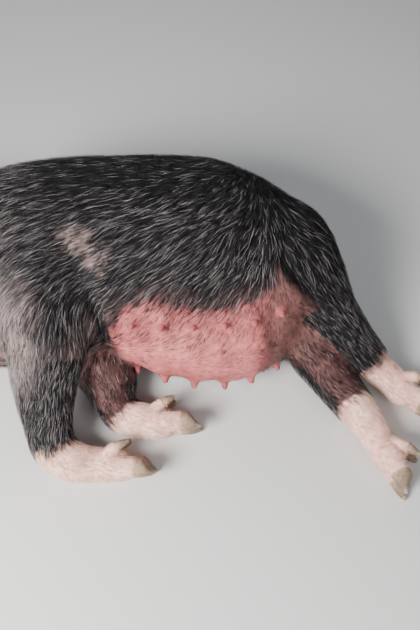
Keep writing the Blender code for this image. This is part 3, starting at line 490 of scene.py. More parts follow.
def ear(side):
    """An ear's leaf, with both its skins, among the details."""
    shape = bmesh.new()
    bmesh.ops.create_grid(shape, x_segments=EAR_COLUMNS, y_segments=EAR_ROWS, size=1)
    first = EAR_SECTIONS[0][0]
    for v in shape.verts:
        v.co = ear_point(side, first + (0.995 - first) * (v.co.y + 1) / 2, v.co.x)
    bmesh.ops.recalc_face_normals(shape, faces=shape.faces)
    shape.normal_update()
    for v in shape.verts:
        v.co += v.normal * (EAR_THICKNESS / 2)
    bmesh.ops.solidify(shape, geom=shape.faces[:], thickness=EAR_THICKNESS)
    shape.verts.sort(key=lambda v: v.co.dot(SORTING))
    shape.faces.sort(key=lambda f: f.calc_center_median().dot(SORTING))
    details.objects.link(closed_object(f"ear_{side}", shape))


for side in (1, -1):
    ear(side)

# Eyelids
# Thick lids close round each small eye, so that only an almond of it shows. They start as a ball
# that the almond slit and the eye's socket are cut out of.
EYE_RADIUS = 0.0115
LID_THICKNESS = 0.0026
EYE_PLAY = 0.0002
EYE_SLIT = (0.0105, 0.0052)
EYE_LOOK = (0.42, 0.88, 0.20)
SLIT_STEPS = [(0.003, 0.8), (EYE_RADIUS, 1.0), (EYE_RADIUS + 0.012, 1.35)]  # way out, size
openings = bpy.data.collections.new("openings")


def eye_frame(side):
    """The middle of an eye, the way it looks and the way its slit runs."""
    look = (HEAD_TURN @ Vector((EYE_LOOK[0], side * EYE_LOOK[1], EYE_LOOK[2]))).normalized()
    slit = AHEAD * 0.95 - CROWN * 0.30
    return eye_middle(side), look, (slit - look * look.dot(slit)).normalized()


def eye_turn(side):
    """The turn of an eye: along its slit, across it and out along its look."""
    _, look, slit = eye_frame(side)
    return Matrix((slit, look.cross(slit), look)).transposed()


def globe(shape, place, segments, rings):
    """A ball of rings set by a matrix. Its points come in the same order each run, unlike a uvsphere's."""
    loops = []
    for k in range(1, rings):
        angle = math.pi * k / rings
        level = place @ Matrix.Translation((0, 0, math.cos(angle)))
        loop = bmesh.ops.create_circle(
            shape, cap_ends=False, radius=math.sin(angle), segments=segments, matrix=level
        )
        loops.append(loop["verts"])
    for cap, pole in zip(bridged(shape, loops), (1, -1)):
        centre = bmesh.ops.poke(shape, faces=[cap])["verts"][0]
        centre.co = place @ Vector((0, 0, pole))


def ball(name, where, middle, sizes, turn=None, segments=48):
    """A closed ball or egg in a collection."""
    shape = bmesh.new()
    place = Matrix.LocRotScale(middle, turn or Matrix.Identity(3), sizes)
    globe(shape, place, segments, segments // 2)
    where.objects.link(closed_object(name, shape))


for side in (1, -1):
    middle, look, slit = eye_frame(side)
    ball(f"lids_{side}", details, middle, [EYE_RADIUS + LID_THICKNESS] * 3, eye_turn(side))
    ball(f"socket_{side}", openings, middle, [EYE_RADIUS + EYE_PLAY] * 3, eye_turn(side))
    shape = bmesh.new()
    loops = []
    for out, grow in SLIT_STEPS:
        loop = bmesh.ops.create_circle(shape, cap_ends=False, radius=1, segments=40)["verts"]
        for v in loop:
            rise = math.copysign(abs(v.co.y) ** 1.35, v.co.y) * EYE_SLIT[1] * grow
            v.co = middle + look * out + slit * (v.co.x * EYE_SLIT[0] * grow) + look.cross(slit) * rise
        loops.append(loop)
    bridged(shape, loops)
    openings.objects.link(closed_object(f"slit_{side}", shape))

# Snout disc
# The flat, tough end of the muzzle that she roots with, slightly dished and with a rounded rim that
# overhangs a fold. Two oval nostrils that flare outwards are cut into it.
DISC_REACH = (0.0440, 0.0380, 0.0330)
DISC_SECTIONS = [  # distance from the end of the head, size
    (-0.0300, 0.86), (-0.0150, 0.88), (-0.0105, 0.925), (-0.0070, 0.985), (-0.0040, 1.0),
    (-0.0018, 0.988), (-0.0004, 0.960), (0.0003, 0.920), (0.0000, 0.870), (-0.0009, 0.80),
    (-0.0019, 0.66), (-0.0026, 0.46), (-0.0029, 0.26), (-0.0030, 0.05),
]
DISC_TUCK = 0.07
NOSTRIL_PLACE = (HEAD_LENGTH, 0.0158, 0.0)
NOSTRIL_SIZE = (0.0160, 0.0072, 0.0108)
NOSTRIL_RIM = 0.0019
WRINKLE = 0.00030


def disc_relief(place):
    """How far the face of the disc stands out at a place: the nostrils' rims, wrinkles and pimples."""
    out, up = (place - HEAD_START).dot(LEFT), (place - HEAD_START).dot(CROWN)
    off = math.hypot((abs(out) - NOSTRIL_PLACE[1]) / NOSTRIL_SIZE[1], up / NOSTRIL_SIZE[2])
    rim = NOSTRIL_RIM * math.exp(-(((off - 1.28) / 0.26) ** 2))
    reach = math.hypot(out / DISC_REACH[0], up / DISC_REACH[1])
    angle = math.atan2(up, out)
    wrinkles = math.sin(angle * 44 + 2 * math.sin(angle * 7)) * min(max((reach - 0.5) * 3, 0), 1)
    return rim + WRINKLE * (wrinkles + noise.noise(place * 260) + 0.8 * noise.noise(place * 700))


places = points_of(skin.data)
along, out, up = head_places(places).T
tuck = DISC_TUCK * ramp(along, HEAD_LENGTH - 0.016, HEAD_LENGTH - 0.009)
back = np.maximum(along - (HEAD_LENGTH - 0.007), 0)
steps = np.stack([-back, -out * tuck, -up * tuck], 1)
set_points(skin.data, places + steps @ np.array([AHEAD, LEFT, CROWN]))
shape = bmesh.new()
wide, above, below = DISC_REACH
loops = []
for beyond, size in smooth_rows(DISC_SECTIONS, 4):
    reach = (wide * size, wide * size, above * size, below * size)
    loops.append(oval_loop(shape, in_head(HEAD_LENGTH + beyond, 0, 0), LEFT, CROWN, reach, 2.2, 96))
bridged(shape, loops)
for v in shape.verts:
    if (v.co - HEAD_START).dot(AHEAD) > HEAD_LENGTH - 0.0050:
        v.co += AHEAD * disc_relief(v.co)
details.objects.link(closed_object("disc", shape))
for side in (1, -1):
    out = (LEFT * (0.92 * side) + CROWN * 0.30).normalized()
    turn = Matrix((AHEAD, out, AHEAD.cross(out))).transposed()
    middle = in_head(NOSTRIL_PLACE[0], side * NOSTRIL_PLACE[1], NOSTRIL_PLACE[2])
    ball(f"nostril_{side}", openings, middle, NOSTRIL_SIZE, turn, 32)

# Toes and the roots of the dew claws
# Each foot stands on two toes, with two small dew claws behind them. The toes are fleshy up to the
# hooves, and are joined to the end of the leg.
FEET = {  # the limb, the way its toes point and the roll that lifts the sole, in degrees
    "forefoot_left": ("foreleg_left", (1.0, -0.06, 0.0), 24),
    "forefoot_right": ("foreleg_right", (1.0, -0.04, 0.0), 14),
    "hindfoot_left": ("hindleg_left", (0.74, -0.67, 0.0), 20),
    "hindfoot_right": ("hindleg_right", (0.34, -0.94, 0.0), 12),
}
TOE_SPREAD = 0.0165
TOE_LENGTH = 0.033
TOE_RADIUS = 0.0165
TOE_SECTIONS = [(-0.35, 0.94), (0.20, 1.0), (0.75, 0.95), (1.0, 0.98)]
CLAW_RADIUS = 0.0085


def foot_axes(foot):
    """The foot's end, and the ways along its toes, from the lower toe to the upper and out of its front."""
    limb, axis, roll = FEET[foot]
    axis = Vector(axis).normalized()
    front = axis.cross(Vector((0, 0, 1))).normalized()
    across = front.cross(axis)
    c, s = math.cos(math.radians(roll)), math.sin(math.radians(roll))
    return Vector(LIMBS[limb][-1][:3]), axis, across * c + front * s, front * c - across * s


def toe_frame(foot, side):
    """Where a toe starts and its own ways; side is 1 for the upper toe, -1 for the lower."""
    end, axis, across, front = foot_axes(foot)
    along = (axis + across * (side * 0.10)).normalized()
    width = (across - along * along.dot(across)).normalized()
    rise = along.cross(width)
    return end + across * (side * TOE_SPREAD), along, width, rise * (1 if rise.dot(front) > 0 else -1)


def claw_frame(foot, side):
    """Where a dew claw starts and the way it points."""
    end, axis, across, front = foot_axes(foot)
    base = end + axis * 0.002 + across * (side * 0.019) - front * 0.0325
    return base, (axis * 0.80 + across * (side * 0.10) - front * 0.42).normalized()


for foot in FEET:
    end, axis, across, front = foot_axes(foot)
    for side in (1, -1):
        start, along, width, rise = toe_frame(foot, side)
        shape = bmesh.new()
        loops = []
        for share, size in smooth_rows(TOE_SECTIONS, 4):
            wide, high = TOE_RADIUS * size * 0.93, TOE_RADIUS * size
            middle = start + along * (TOE_LENGTH * share)
            loops.append(oval_loop(shape, middle, width, rise, (wide, wide, high, high), 2.3, 28))
        bridged(shape, loops)
        details.objects.link(closed_object(f"toe_{foot}_{side}", shape))
        base, along = claw_frame(foot, side)
        inside = end - axis * 0.022 + across * (side * 0.012) - front * 0.010
        shape = bmesh.new()
        rows = smooth_rows([(*inside, 0.0085), (*inside.lerp(base, 0.55), 0.0100), (*base, 0.0092)], 3)
        bridged(shape, round_loops(shape, rows, 16, ()))
        details.objects.link(closed_object(f"claw_root_{foot}_{side}", shape))

# Teats
# Six pairs of soft teats on low mounds along the udder. Each is a short, blunt, round form that is
# set where the udder's skin is and points out from it.
TEAT_XS = [-0.105, -0.055, -0.005, 0.045, 0.092, 0.136]
TEAT_HEIGHTS = (0.178, 0.062)
TEAT_LENGTH = 0.014
TEAT_RADIUS = 0.0060
TEAT_CHANCE = np.random.default_rng(5)
under = BVHTree.FromObject(skin, bpy.context.evaluated_depsgraph_get())
teat_tips = []
for height in TEAT_HEIGHTS:
    for x in TEAT_XS:
        place, normal, _, _ = under.ray_cast(Vector((x, -0.6, height)), Vector((0, 1, 0)))
        tilt = Vector(TEAT_CHANCE.uniform(-0.22, 0.22, 3))
        out = (normal + Vector((0, -0.5, -0.1)) + tilt).normalized()
        long = TEAT_LENGTH * TEAT_CHANCE.uniform(0.75, 1.0)
        rows = [
            (*(place - out * 0.010), TEAT_RADIUS * 3.6),
            (*(place + out * 0.0005), TEAT_RADIUS * 2.1),
            (*(place + out * 0.0040), TEAT_RADIUS * 1.15),
            (*(place + out * (long * 0.60)), TEAT_RADIUS * 0.98),
            (*(place + out * (long * 0.88)), TEAT_RADIUS * 0.72),
        ]
        shape = bmesh.new()
        bridged(shape, round_loops(shape, smooth_rows(rows, 3), 20))
        details.objects.link(closed_object("teat", shape))
        teat_tips.append(place + out * (long * 0.85))

# Tail
# A straight tail, thick at the root, that drops from the rump to the floor and lies along it.
TAIL = [  # x, y, z, radius
    (0.165, 0.015, 0.138, 0.020),
    (0.200, 0.048, 0.136, 0.0170),
    (0.220, 0.078, 0.112, 0.0125),
    (0.222, 0.098, 0.070, 0.0105),
    (0.214, 0.114, 0.030, 0.0095),
    (0.200, 0.136, 0.0088, 0.0092),
    (0.188, 0.166, 0.0082, 0.0086),
    (0.181, 0.194, 0.0086, 0.0092),
    (0.178, 0.220, 0.0080, 0.0086),
    (0.177, 0.240, 0.0056, 0.0058),
]
TAIL_FLESH = 0.84
tail_rows = smooth_rows(TAIL, 5)
tail_rows[:, 3] *= TAIL_FLESH
shape = bmesh.new()
bridged(shape, round_loops(shape, tail_rows, 20))
details.objects.link(closed_object("tail", shape))

# Joining the details to the skin
# Ears, lids, toes, teats and tail become one closed skin with the body, and the seams between them
# are worn round. Then the eyes' openings and the nostrils are cut.
SEAM = 0.006
CUT_SEAM = 0.0014


def tree_of(objects):
    """A search tree of the surfaces of several objects."""
    corners, faces = [], []
    for obj in objects:
        first = len(corners)
        corners += [v.co.copy() for v in obj.data.vertices]
        faces += [[first + k for k in p.vertices] for p in obj.data.polygons]
    return BVHTree.FromPolygons(corners, faces)


def combined(obj, operation, group):
    """Adds the objects of a group to obj, or cuts them out of it."""
    step = obj.modifiers.new("Combine", "BOOLEAN")
    step.operation = operation
    step.solver = "MANIFOLD"
    step.operand_type = "COLLECTION"
    step.collection = group
    settled(obj)


def near_both(places, first, second, reach):
    """How near points are to the line where two surfaces meet: 1 on it, 0 from reach on."""
    share = np.empty(len(places))
    for k, p in enumerate(places.tolist()):
        a = first.find_nearest(p, reach)[3]
        b = second.find_nearest(p, reach)[3] if a is not None else None
        share[k] = 0 if b is None else 1 - max(a, b) / reach
    return share


def eased(obj, share, times):
    """Smooths the mesh where share is above 0."""
    shape = bmesh.new()
    shape.from_mesh(obj.data)
    for limit in (0.0, 0.35, 0.7):
        chosen = [v for v, much in zip(shape.verts, share) if much > limit]
        relaxed(shape, chosen, times)
    shape.to_mesh(obj.data)
    shape.free()


bare_tree = tree_of([skin])
detail_tree = tree_of(details.objects)
combined(skin, "UNION", details)
eased(skin, near_both(points_of(skin.data), bare_tree, detail_tree, SEAM), 2)
body_tree = tree_of([skin])
opening_tree = tree_of(openings.objects)
combined(skin, "DIFFERENCE", openings)
eased(skin, near_both(points_of(skin.data), body_tree, opening_tree, CUT_SEAM), 1)
for helper in [*details.objects, *openings.objects]:
    bpy.data.objects.remove(helper)

# Folds and wrinkles
# Loose skin folds where she bends: behind the elbow, at the flank, on the neck, across the bridge of
# the muzzle and round the eyes. Each is a soft groove pressed in along a path, with a raised lip.
# How deep each point lies in a fold is kept in creases, which later darkens skin and coat there as painted
# shade.
BODY_FOLDS = [  # path, depth, width
    ([(-0.222, -0.090, 0.272), (-0.190, -0.148, 0.247), (-0.166, -0.184, 0.204),
      (-0.156, -0.200, 0.150), (-0.158, -0.196, 0.100)], 0.0100, 0.0095),
    ([(0.140, -0.052, 0.254), (0.137, -0.099, 0.245), (0.148, -0.126, 0.228), (0.174, -0.138, 0.202),
      (0.194, -0.148, 0.180), (0.214, -0.152, 0.160)], 0.0085, 0.0085),
    ([(-0.452, 0.085, 0.205), (-0.446, 0.020, 0.228), (-0.450, -0.060, 0.214),
      (-0.455, -0.120, 0.170)], 0.0036, 0.0130),
    ([(-0.392, 0.110, 0.228), (-0.386, 0.030, 0.252), (-0.392, -0.070, 0.240),
      (-0.398, -0.150, 0.190)], 0.0024, 0.0140),
    ([(-0.330, -0.175, 0.215), (-0.322, -0.215, 0.160), (-0.318, -0.222, 0.110)], 0.0040, 0.0100),
]
MOUTH_SIDE = [(0.100, -0.0275), (0.113, -0.0300), (0.133, -0.0265), (0.156, -0.0245), (0.177, -0.0240)]
MOUTH_ROUND = 0.018
MOUTH_DEPTH = 0.0042
MOUTH_WIDTH = 0.0017
MOUTH_LIP = 0.22
MUZZLE_FOLDS = [  # distance from the poll, reach to each side in degrees, depth
    (0.126, 62, 0.0015), (0.141, 84, 0.0009), (0.150, 55, 0.0014), (0.166, 88, 0.0008), (0.178, 70, 0.0013),
]
MUZZLE_WIDTH = 0.0026
SNOUT_FOLD = (HEAD_LENGTH - 0.0150, 0.0022, 0.0030)  # distance from the poll, depth, width
EYE_FOLDS = [  # distance from the eye, from and to in degrees, depth
    (0.0185, 195, 345, 0.0013), (0.0250, 200, 335, 0.0016), (0.0320, 215, 320, 0.0016),
    (0.0195, 25, 160, 0.0015), (0.0270, 40, 150, 0.0016),
]
EYE_FOLD_WIDTH = 0.0024
BROW_FOLDS = (9, 24)  # degrees from the crown
BROW_STATIONS = (0.060, 0.075, 0.092, 0.110)
BROW_DEPTH = 0.0018
BROW_WIDTH = 0.0036
CHEEK_FOLDS = [  # distance from the poll, from and to in degrees from the crown, depth, width
    (0.088, 88, 128, 0.0026, 0.0050), (0.070, 82, 140, 0.0022, 0.0050), (-0.004, 40, 150, 0.0050, 0.0105),
]
SKIN_WAVES = 0.0009
GLAND_LUMPS = 0.0016
FLOOR_SKIN = 0.0012


def pressed(places, ways, path, depth, width, lip=0.35):
    """The points with a groove pressed in along the path, and how deep in it each of them is."""
    rows = smooth_rows(path, 6)
    near = np.full(len(places), 1e9)
    share = np.zeros(len(places))
    low, high = rows.min(0) - 4 * width, rows.max(0) + 4 * width
    chosen = np.nonzero(((places > low) & (places < high)).all(1))[0]
    there = places[chosen]
    for k, (a, b) in enumerate(zip(rows, rows[1:])):
        t = np.clip((there - a) @ (b - a) / max((b - a) @ (b - a), 1e-12), 0, 1)
        off = np.linalg.norm(there - a - t[:, None] * (b - a), axis=1)
        closer = off < near[chosen]
        near[chosen[closer]] = off[closer]
        share[chosen[closer]] = (k + t[closer]) / (len(rows) - 1)
    fade = ramp(np.minimum(share, 1 - share), -0.03, 0.16)
    dip = np.exp(-((near / width) ** 2)) * fade
    swell = np.exp(-(((near - 2.1 * width) / width) ** 2)) * fade
    return places + ways * (depth * (lip * swell - dip))[:, None], dip


def on_head(tree, along, degrees, side=1):
    """The place on the skin of the head at an angle from the crown towards one side."""
    angle = math.radians(degrees)
    out = CROWN * math.cos(angle) + LEFT * (side * math.sin(angle))
    return tree.ray_cast(in_head(along, 0, 0) + out * 0.2, -out)[0]


def eye_arc(tree, side, radius, start, stop):
    """A path on the skin round an eye, from one angle to another."""
    middle, look, slit = eye_frame(side)
    up = CROWN - look * look.dot(CROWN)
    up = (up - slit * slit.dot(up)).normalized()
    found = []
    for degrees in np.linspace(start, stop, 7):
        angle = math.radians(degrees)
        place = middle + look * 0.012 + (slit * math.cos(angle) + up * math.sin(angle)) * radius
        found.append(tree.find_nearest(place)[0])
    return found


def head_folds():
    """(path, depth, width) of the folds on the head."""
    found = []
    for along, reach, depth in MUZZLE_FOLDS:
        path = []
        for degrees in np.linspace(-reach, reach, 11):
            wave = 0.0016 * math.sin(degrees * 0.11 + along * 900)
            path.append(on_head(skin_tree, along - 0.007 * (degrees / 80) ** 2 + wave, degrees))
        found.append((path, depth, MUZZLE_WIDTH))
    along, depth, width = SNOUT_FOLD
    found.append(([on_head(skin_tree, along, a) for a in np.linspace(-125, 125, 15)], depth, width))
    for side in (1, -1):
        for radius, start, stop, depth in EYE_FOLDS:
            found.append((eye_arc(skin_tree, side, radius, start, stop), depth, EYE_FOLD_WIDTH))
        for degrees in BROW_FOLDS:
            path = [on_head(skin_tree, s, degrees * (1 + 3 * (0.115 - s)), side) for s in BROW_STATIONS]
            found.append((path, BROW_DEPTH, BROW_WIDTH))
        for along, start, stop, depth, width in CHEEK_FOLDS:
            path = [
                on_head(bare_tree, along - 0.010 * k * k, start + (stop - start) * (k + 1) / 2, side)
                for k in np.linspace(-1, 1, 7)
            ]
            found.append((path, depth, width))
    return found


def off_ears(places):
    """1 on the body and 0 on what stands out of it near the ears."""
    along, _, up = head_places(places).T
    clear = np.ones(len(places))
    near = np.nonzero((np.abs(along) < 0.075) & (up > 0.015))[0]
    proud = np.array([bare_tree.find_nearest(p)[3] for p in places[near].tolist()])
    clear[near] = 1 - ramp(proud, 0.0015, 0.0060)
    return clear


def mouth_path():
    """The line where her lips meet, from one corner round the chin to the other."""
    points = []
    for along, height in MOUTH_SIDE:
        place = skin_tree.ray_cast(in_head(along, 0.15, height), -LEFT)[0]
        points.append((along, (place - HEAD_START).dot(LEFT), height))
    end, wide, height = points[-1]
    for degrees in (70, 45, 22, 0):
        angle = math.radians(degrees)
        points.append((end + MOUTH_ROUND * math.cos(angle), wide * math.sin(angle), height))
    points += [(along, -wide, height) for along, wide, height in points[-2::-1]]
    return [in_head(*p) for p in points]


def ripple(places, size, seed):
    """A soft random pattern over space, about from -1 to 1, with humps of that size."""
    chance = np.random.default_rng(seed)
    ways = chance.normal(size=(9, 3))
    ways *= (2 * math.pi / size) / np.linalg.norm(ways, axis=1)[:, None] * chance.uniform(0.6, 1.5, (9, 1))
    return np.sin(places @ ways.T + chance.uniform(0, 6.3, 9)).sum(1) / 3.2


places = points_of(skin.data)
creases = np.zeros(len(places))
skin_tree = tree_of([skin])
clear = off_ears(places)
for path, depth, width in BODY_FOLDS + head_folds():
    places, dip = pressed(places, normals_of(skin.data) * clear[:, None], path, depth, width)
    creases = np.maximum(creases, dip * clear * min(depth / 0.003, 1))
places, lips = pressed(places, normals_of(skin.data), mouth_path(), MOUTH_DEPTH, MOUTH_WIDTH, MOUTH_LIP)
creases = np.maximum(creases, lips)
waves = np.array([noise.noise(Vector(p) * 24) + 0.5 * noise.noise(Vector(p) * 60) for p in places.tolist()])
places += normals_of(skin.data) * (waves * SKIN_WAVES)[:, None]
glands = ramp(-places[:, 1], 0.125, 0.170) * ramp(0.17 - np.abs(places[:, 0] - 0.02), 0, 0.03)
places += normals_of(skin.data) * (ripple(places, 0.055, 11) * GLAND_LUMPS * glands)[:, None]
places[:, 2] = np.maximum(places[:, 2], FLOOR_SKIN)
set_points(skin.data, places)

# Markings
# A black sow with a pink belly and pale feet. Her black coat ends in a ragged edge low on the flank,
# and her skin shows pink-grey where the coat is thin. Skin and coat both take their colours here.
# Some of these colours are painted light: shade in the creases, a pool of light on the upper left arm, and
# pale tufts that stand in for the sheen of the bristles.
BELLY_EDGE = [  # x, y of the edge between black and pink
    (-0.200, -0.235), (-0.170, -0.216), (-0.148, -0.203), (-0.127, -0.191), (-0.107, -0.181),
    (-0.072, -0.177), (-0.033, -0.181), (0.006, -0.186), (0.045, -0.184), (0.069, -0.178),
    (0.100, -0.166), (0.118, -0.148), (0.134, -0.122), (0.150, -0.126), (0.176, -0.136),
    (0.194, -0.146), (0.215, -0.157), (0.250, -0.180),
]
SOCK_START = {"foreleg_left": 4.75, "foreleg_right": 3.9, "hindleg_left": 5.35, "hindleg_right": 4.2}
BLACK_SKIN = (0.0120, 0.0102, 0.0110)
BELLY_SKIN = (0.47, 0.130, 0.125)
TEAT_SKIN = (0.34, 0.078, 0.075)
GROIN_SKIN = (0.20, 0.082, 0.072)
BRISKET_SKIN = (0.33, 0.195, 0.180)
THIN_SKIN = (0.36, 0.245, 0.225)
FRINGE_SKIN = (0.11, 0.050, 0.047)
SOCK_SKIN = (0.95, 0.52, 0.42)
SNOUT_SKIN = (0.056, 0.039, 0.042)
LID_SKIN = (0.026, 0.020, 0.022)
EAR_SKIN = (0.036, 0.026, 0.028)
THIN_PATCH = [  # middle, radius
    ((-0.205, -0.082, 0.266), 0.019),
    ((-0.186, -0.095, 0.262), 0.031),
    ((-0.160, -0.114, 0.252), 0.030),
    ((-0.148, -0.136, 0.236), 0.018),
]
# Painted light: a pool of light on the upper left arm, where the key light falls, shown as paler skin and
# more and brighter highlight tufts.
LIT_ARM_POOL = ((-0.310, -0.235, 0.190), (0.082, 0.112, 0.110))


def limb_places(places):
    """For many points: the gap to the nearest limb, the station on it, the way down it, and its number."""
    off = np.full(len(places), 1e9)
    station = np.zeros(len(places))
    way = np.zeros((len(places), 3))
    which = np.zeros(len(places), int)
    for number, stations in enumerate(LIMBS.values()):
        for k, (a, b) in enumerate(zip(stations[1:], stations[2:]), 1):
            start, step = np.array(a[:3]), np.subtract(b[:3], a[:3])
            t = (places - start) @ step / (step @ step)
            far = np.clip(t, 0, None if k == len(stations) - 2 else 1)
            radius = a[3] + (b[3] - a[3]) * np.clip(far, 0, 1)
            gap = np.linalg.norm(places - start - far[:, None] * step, axis=1) - radius
            gap[(t < 0) & (k == 1)] = 1e9
            closer = gap < off
            off[closer], station[closer], which[closer] = gap[closer], k + far[closer], number
            way[closer] = step / np.linalg.norm(step)
    return off, station, way, which


def blob(places, middle, sizes):
    """1 in the middle of an ellipsoid, 0 outside it."""
    return 1 - ramp(np.linalg.norm((places - np.array(middle)) / np.array(sizes), axis=1), 0.45, 1.15)


def markings(places, ways, leaf):
    """Masks from 0 to 1 for each kind of skin and for the painted light on the upper arm, at many points
    with the ways they face.
    """
    x, y, z = places.T
    along, out, up = head_places(places).T
    off, station, _, which = limb_places(places)
    ragged = ripple(places, 0.030, 1) * 0.5 + ripple(places, 0.010, 2) * 0.5
    near_limb = 1 - ramp(off, 0.002, 0.016)
    limb = near_limb * ramp(station, 1.7, 2.4)
    under = np.interp(x, *np.array(BELLY_EDGE).T) - y + ragged * 0.004
    trunk = ramp(x, -0.228, -0.205) * (x < 0.27) * (1 - near_limb * ramp(station, 0.9, 1.6) * (x < 0))
    below = ramp(under, -0.002, 0.005) * trunk * (1 - limb)
    fringe = ramp(under, -0.026, -0.002) * trunk * (1 - limb) * (1 - below) * (x < 0.13)
    edge = (1 - ramp(under, 0.002, 0.050)) * below
    teats = np.full(len(places), 1.0)
    for tip in teat_tips:
        teats = np.minimum(teats, ramp(np.linalg.norm(places - np.array(tip), axis=1), 0.0070, 0.0200))
    start = np.array(list(SOCK_START.values()))[which]
    sock = ramp(station + ragged * 0.12, start - 0.12, start + 0.12) * (off < 0.022) * teats
    facing = -ways[:, 2] * np.where(which % 2 == 0, 1, -1)
    inner = ramp(facing + ragged * 0.22, 0.05, 0.65) * near_limb * ramp(station, 0.9, 1.6) * (1 - sock)
    brisket = ramp(-y, 0.150, 0.175) * ramp(0.19 - z, -0.02, 0.03) * (x < -0.165) * (x > -0.42)
    brisket = brisket * (1 - limb) * (1 - below)
    thin = np.maximum.reduce([blob(places, middle, radius) for middle, radius in THIN_PATCH])
    thin = np.clip(thin * (0.85 + ragged * 0.9), 0, 1)
    # Painted light: a pool of light where the key light falls on the upper left arm.
    lit_arm = blob(places, *LIT_ARM_POOL) * (z > 0.10)
    snout = ramp(along, HEAD_LENGTH - 0.0190, HEAD_LENGTH - 0.0140) * ramp(up, -0.040, -0.033)
    eyes = [np.linalg.norm(places - np.array(eye_middle(side)), axis=1) for side in (1, -1)]
    lid = 1 - ramp(np.minimum(*eyes), 0.0135, 0.0185)
    lip = np.exp(-(((up + 0.0255) / 0.0034) ** 2)) * ramp(along, 0.108, 0.120) * (1 - snout)
    cup = np.where(out > 0, ways @ np.array(ear_axes(1)[2]), ways @ np.array(ear_axes(-1)[2]))
    return {
        "belly": below * (1 - ramp(x, 0.098, 0.132)),
        "groin": below * ramp(x, 0.098, 0.132),
        "sock": sock,
        "inner": inner,
        "brisket": brisket,
        "thin": thin,
        "lit_arm": lit_arm,
        "fringe": fringe,
        "edge": edge,
        "teat": 1 - teats,
        "snout": snout,
        "lid": lid,
        "lip": lip * 0.8,
        "ear_inside": leaf * ramp(cup, 0.0, 0.4) * ramp(up, 0.062, 0.085),
        "head": ramp(along, -0.02, 0.03),
        "face": ramp(along, 0.075, 0.125),
        "limb": limb,
    }


def tinted(base, colour, share):
    """Colours drawn towards another one by a share for each point."""
    return base + (np.array(colour) - base) * share[:, None]


def skin_tones(places, marks, creases):
    """The skin's colour at many points with those markings, with painted shade in the creases."""
    tone = np.tile(np.array(BLACK_SKIN), (len(places), 1))
    tone = tinted(tone, FRINGE_SKIN, marks["fringe"])
    # The lit upper arm gets the pale skin of the thin patch, as painted light.
    tone = tinted(tone, THIN_SKIN, np.clip(marks["thin"] + marks["lit_arm"] * 1.1, 0, 1))
    tone = tinted(tone, BRISKET_SKIN, marks["brisket"])
    tone = tinted(tone, GROIN_SKIN, np.maximum(marks["groin"], marks["inner"] * 0.6))
    tone = tinted(tone, BELLY_SKIN, marks["belly"])
    tone = tinted(tone, TEAT_SKIN, marks["teat"] * 0.8)
    tone = tinted(tone, SOCK_SKIN, marks["sock"])
    tone = tinted(tone, EAR_SKIN, marks["ear_inside"])
    tone = tinted(tone, LID_SKIN, np.maximum(marks["lid"], marks["lip"]))
    tone = tinted(tone, SNOUT_SKIN, marks["snout"])
    blotch = 1 + 0.16 * ripple(places, 0.045, 3) + 0.10 * ripple(places, 0.012, 4)
    # Painted shade: the skin is darker in the creases of the folds, the mouth line and the furrows round
    # the eyes.
    return np.clip(tone * blotch[:, None] * (1 - 0.55 * creases)[:, None], 0.002, 0.95)


def near_ears(places):
    """1 where a point is on the leaf of an ear, clear of the head, and 0 on the head."""
    leaf = np.zeros(len(places))
    along, out, _ = head_places(places).T
    for k in np.nonzero(np.abs(along) < 0.13)[0]:
        side = 1 if out[k] > 0 else -1
        base, axis, _ = ear_axes(side)
        share = (Vector(places[k]) - base).dot(axis) / EAR_LENGTH
        gap = (Vector(places[k]) - ear_spine(side, share)).length
        leaf[k] = float(share > 0.12 and gap < 0.062 and bare_tree.find_nearest(places[k])[3] > 0.004)
    return leaf


def store(mesh, name, values):
    """Writes a colour for each point of a mesh."""
    layer = mesh.color_attributes.new(name=name, type="FLOAT_COLOR", domain="POINT")
    rows = np.ones((len(values), 4), np.float32)
    rows[:, : values.shape[1]] = values
    layer.data.foreach_set("color", rows.ravel())


places = points_of(skin.data)
ways = normals_of(skin.data)
leaf = np.maximum(near_ears(places), 1 - clear)
marks = markings(places, ways, leaf)
store(skin.data, "tone", skin_tones(places, marks, creases))
damp = np.maximum.reduce([marks["snout"], marks["lid"], marks["lip"], marks["belly"] * 0.25])
store(skin.data, "damp", np.tile(damp[:, None], 3))

# Skin material
# Pig skin: a fine net of small furrows with pores between them, dull where it is dry and moist on the
# snout, lips and lids. Its colours come from the markings.


def added(tree, kind, values=(), **settings):
    """A new shader node of a kind, with its settings and the values of its inputs."""
    node = tree.nodes.new("ShaderNode" + kind)
    for name, value in settings.items():
        setattr(node, name, value)
    for socket, value in dict(values).items():
        node.inputs[socket].default_value = value
    return node


def node_group(name, inputs, output, kind):
    """A node group with those inputs and one output, as (group, its input node, its output node)."""
    made = bpy.data.node_groups.new(name, "ShaderNodeTree")
    for label, socket in inputs.items():
        made.interface.new_socket(label, in_out="INPUT", socket_type="NodeSocket" + socket)
    made.interface.new_socket(output, in_out="OUTPUT", socket_type="NodeSocket" + kind)
    return made, made.nodes.new("NodeGroupInput"), made.nodes.new("NodeGroupOutput")


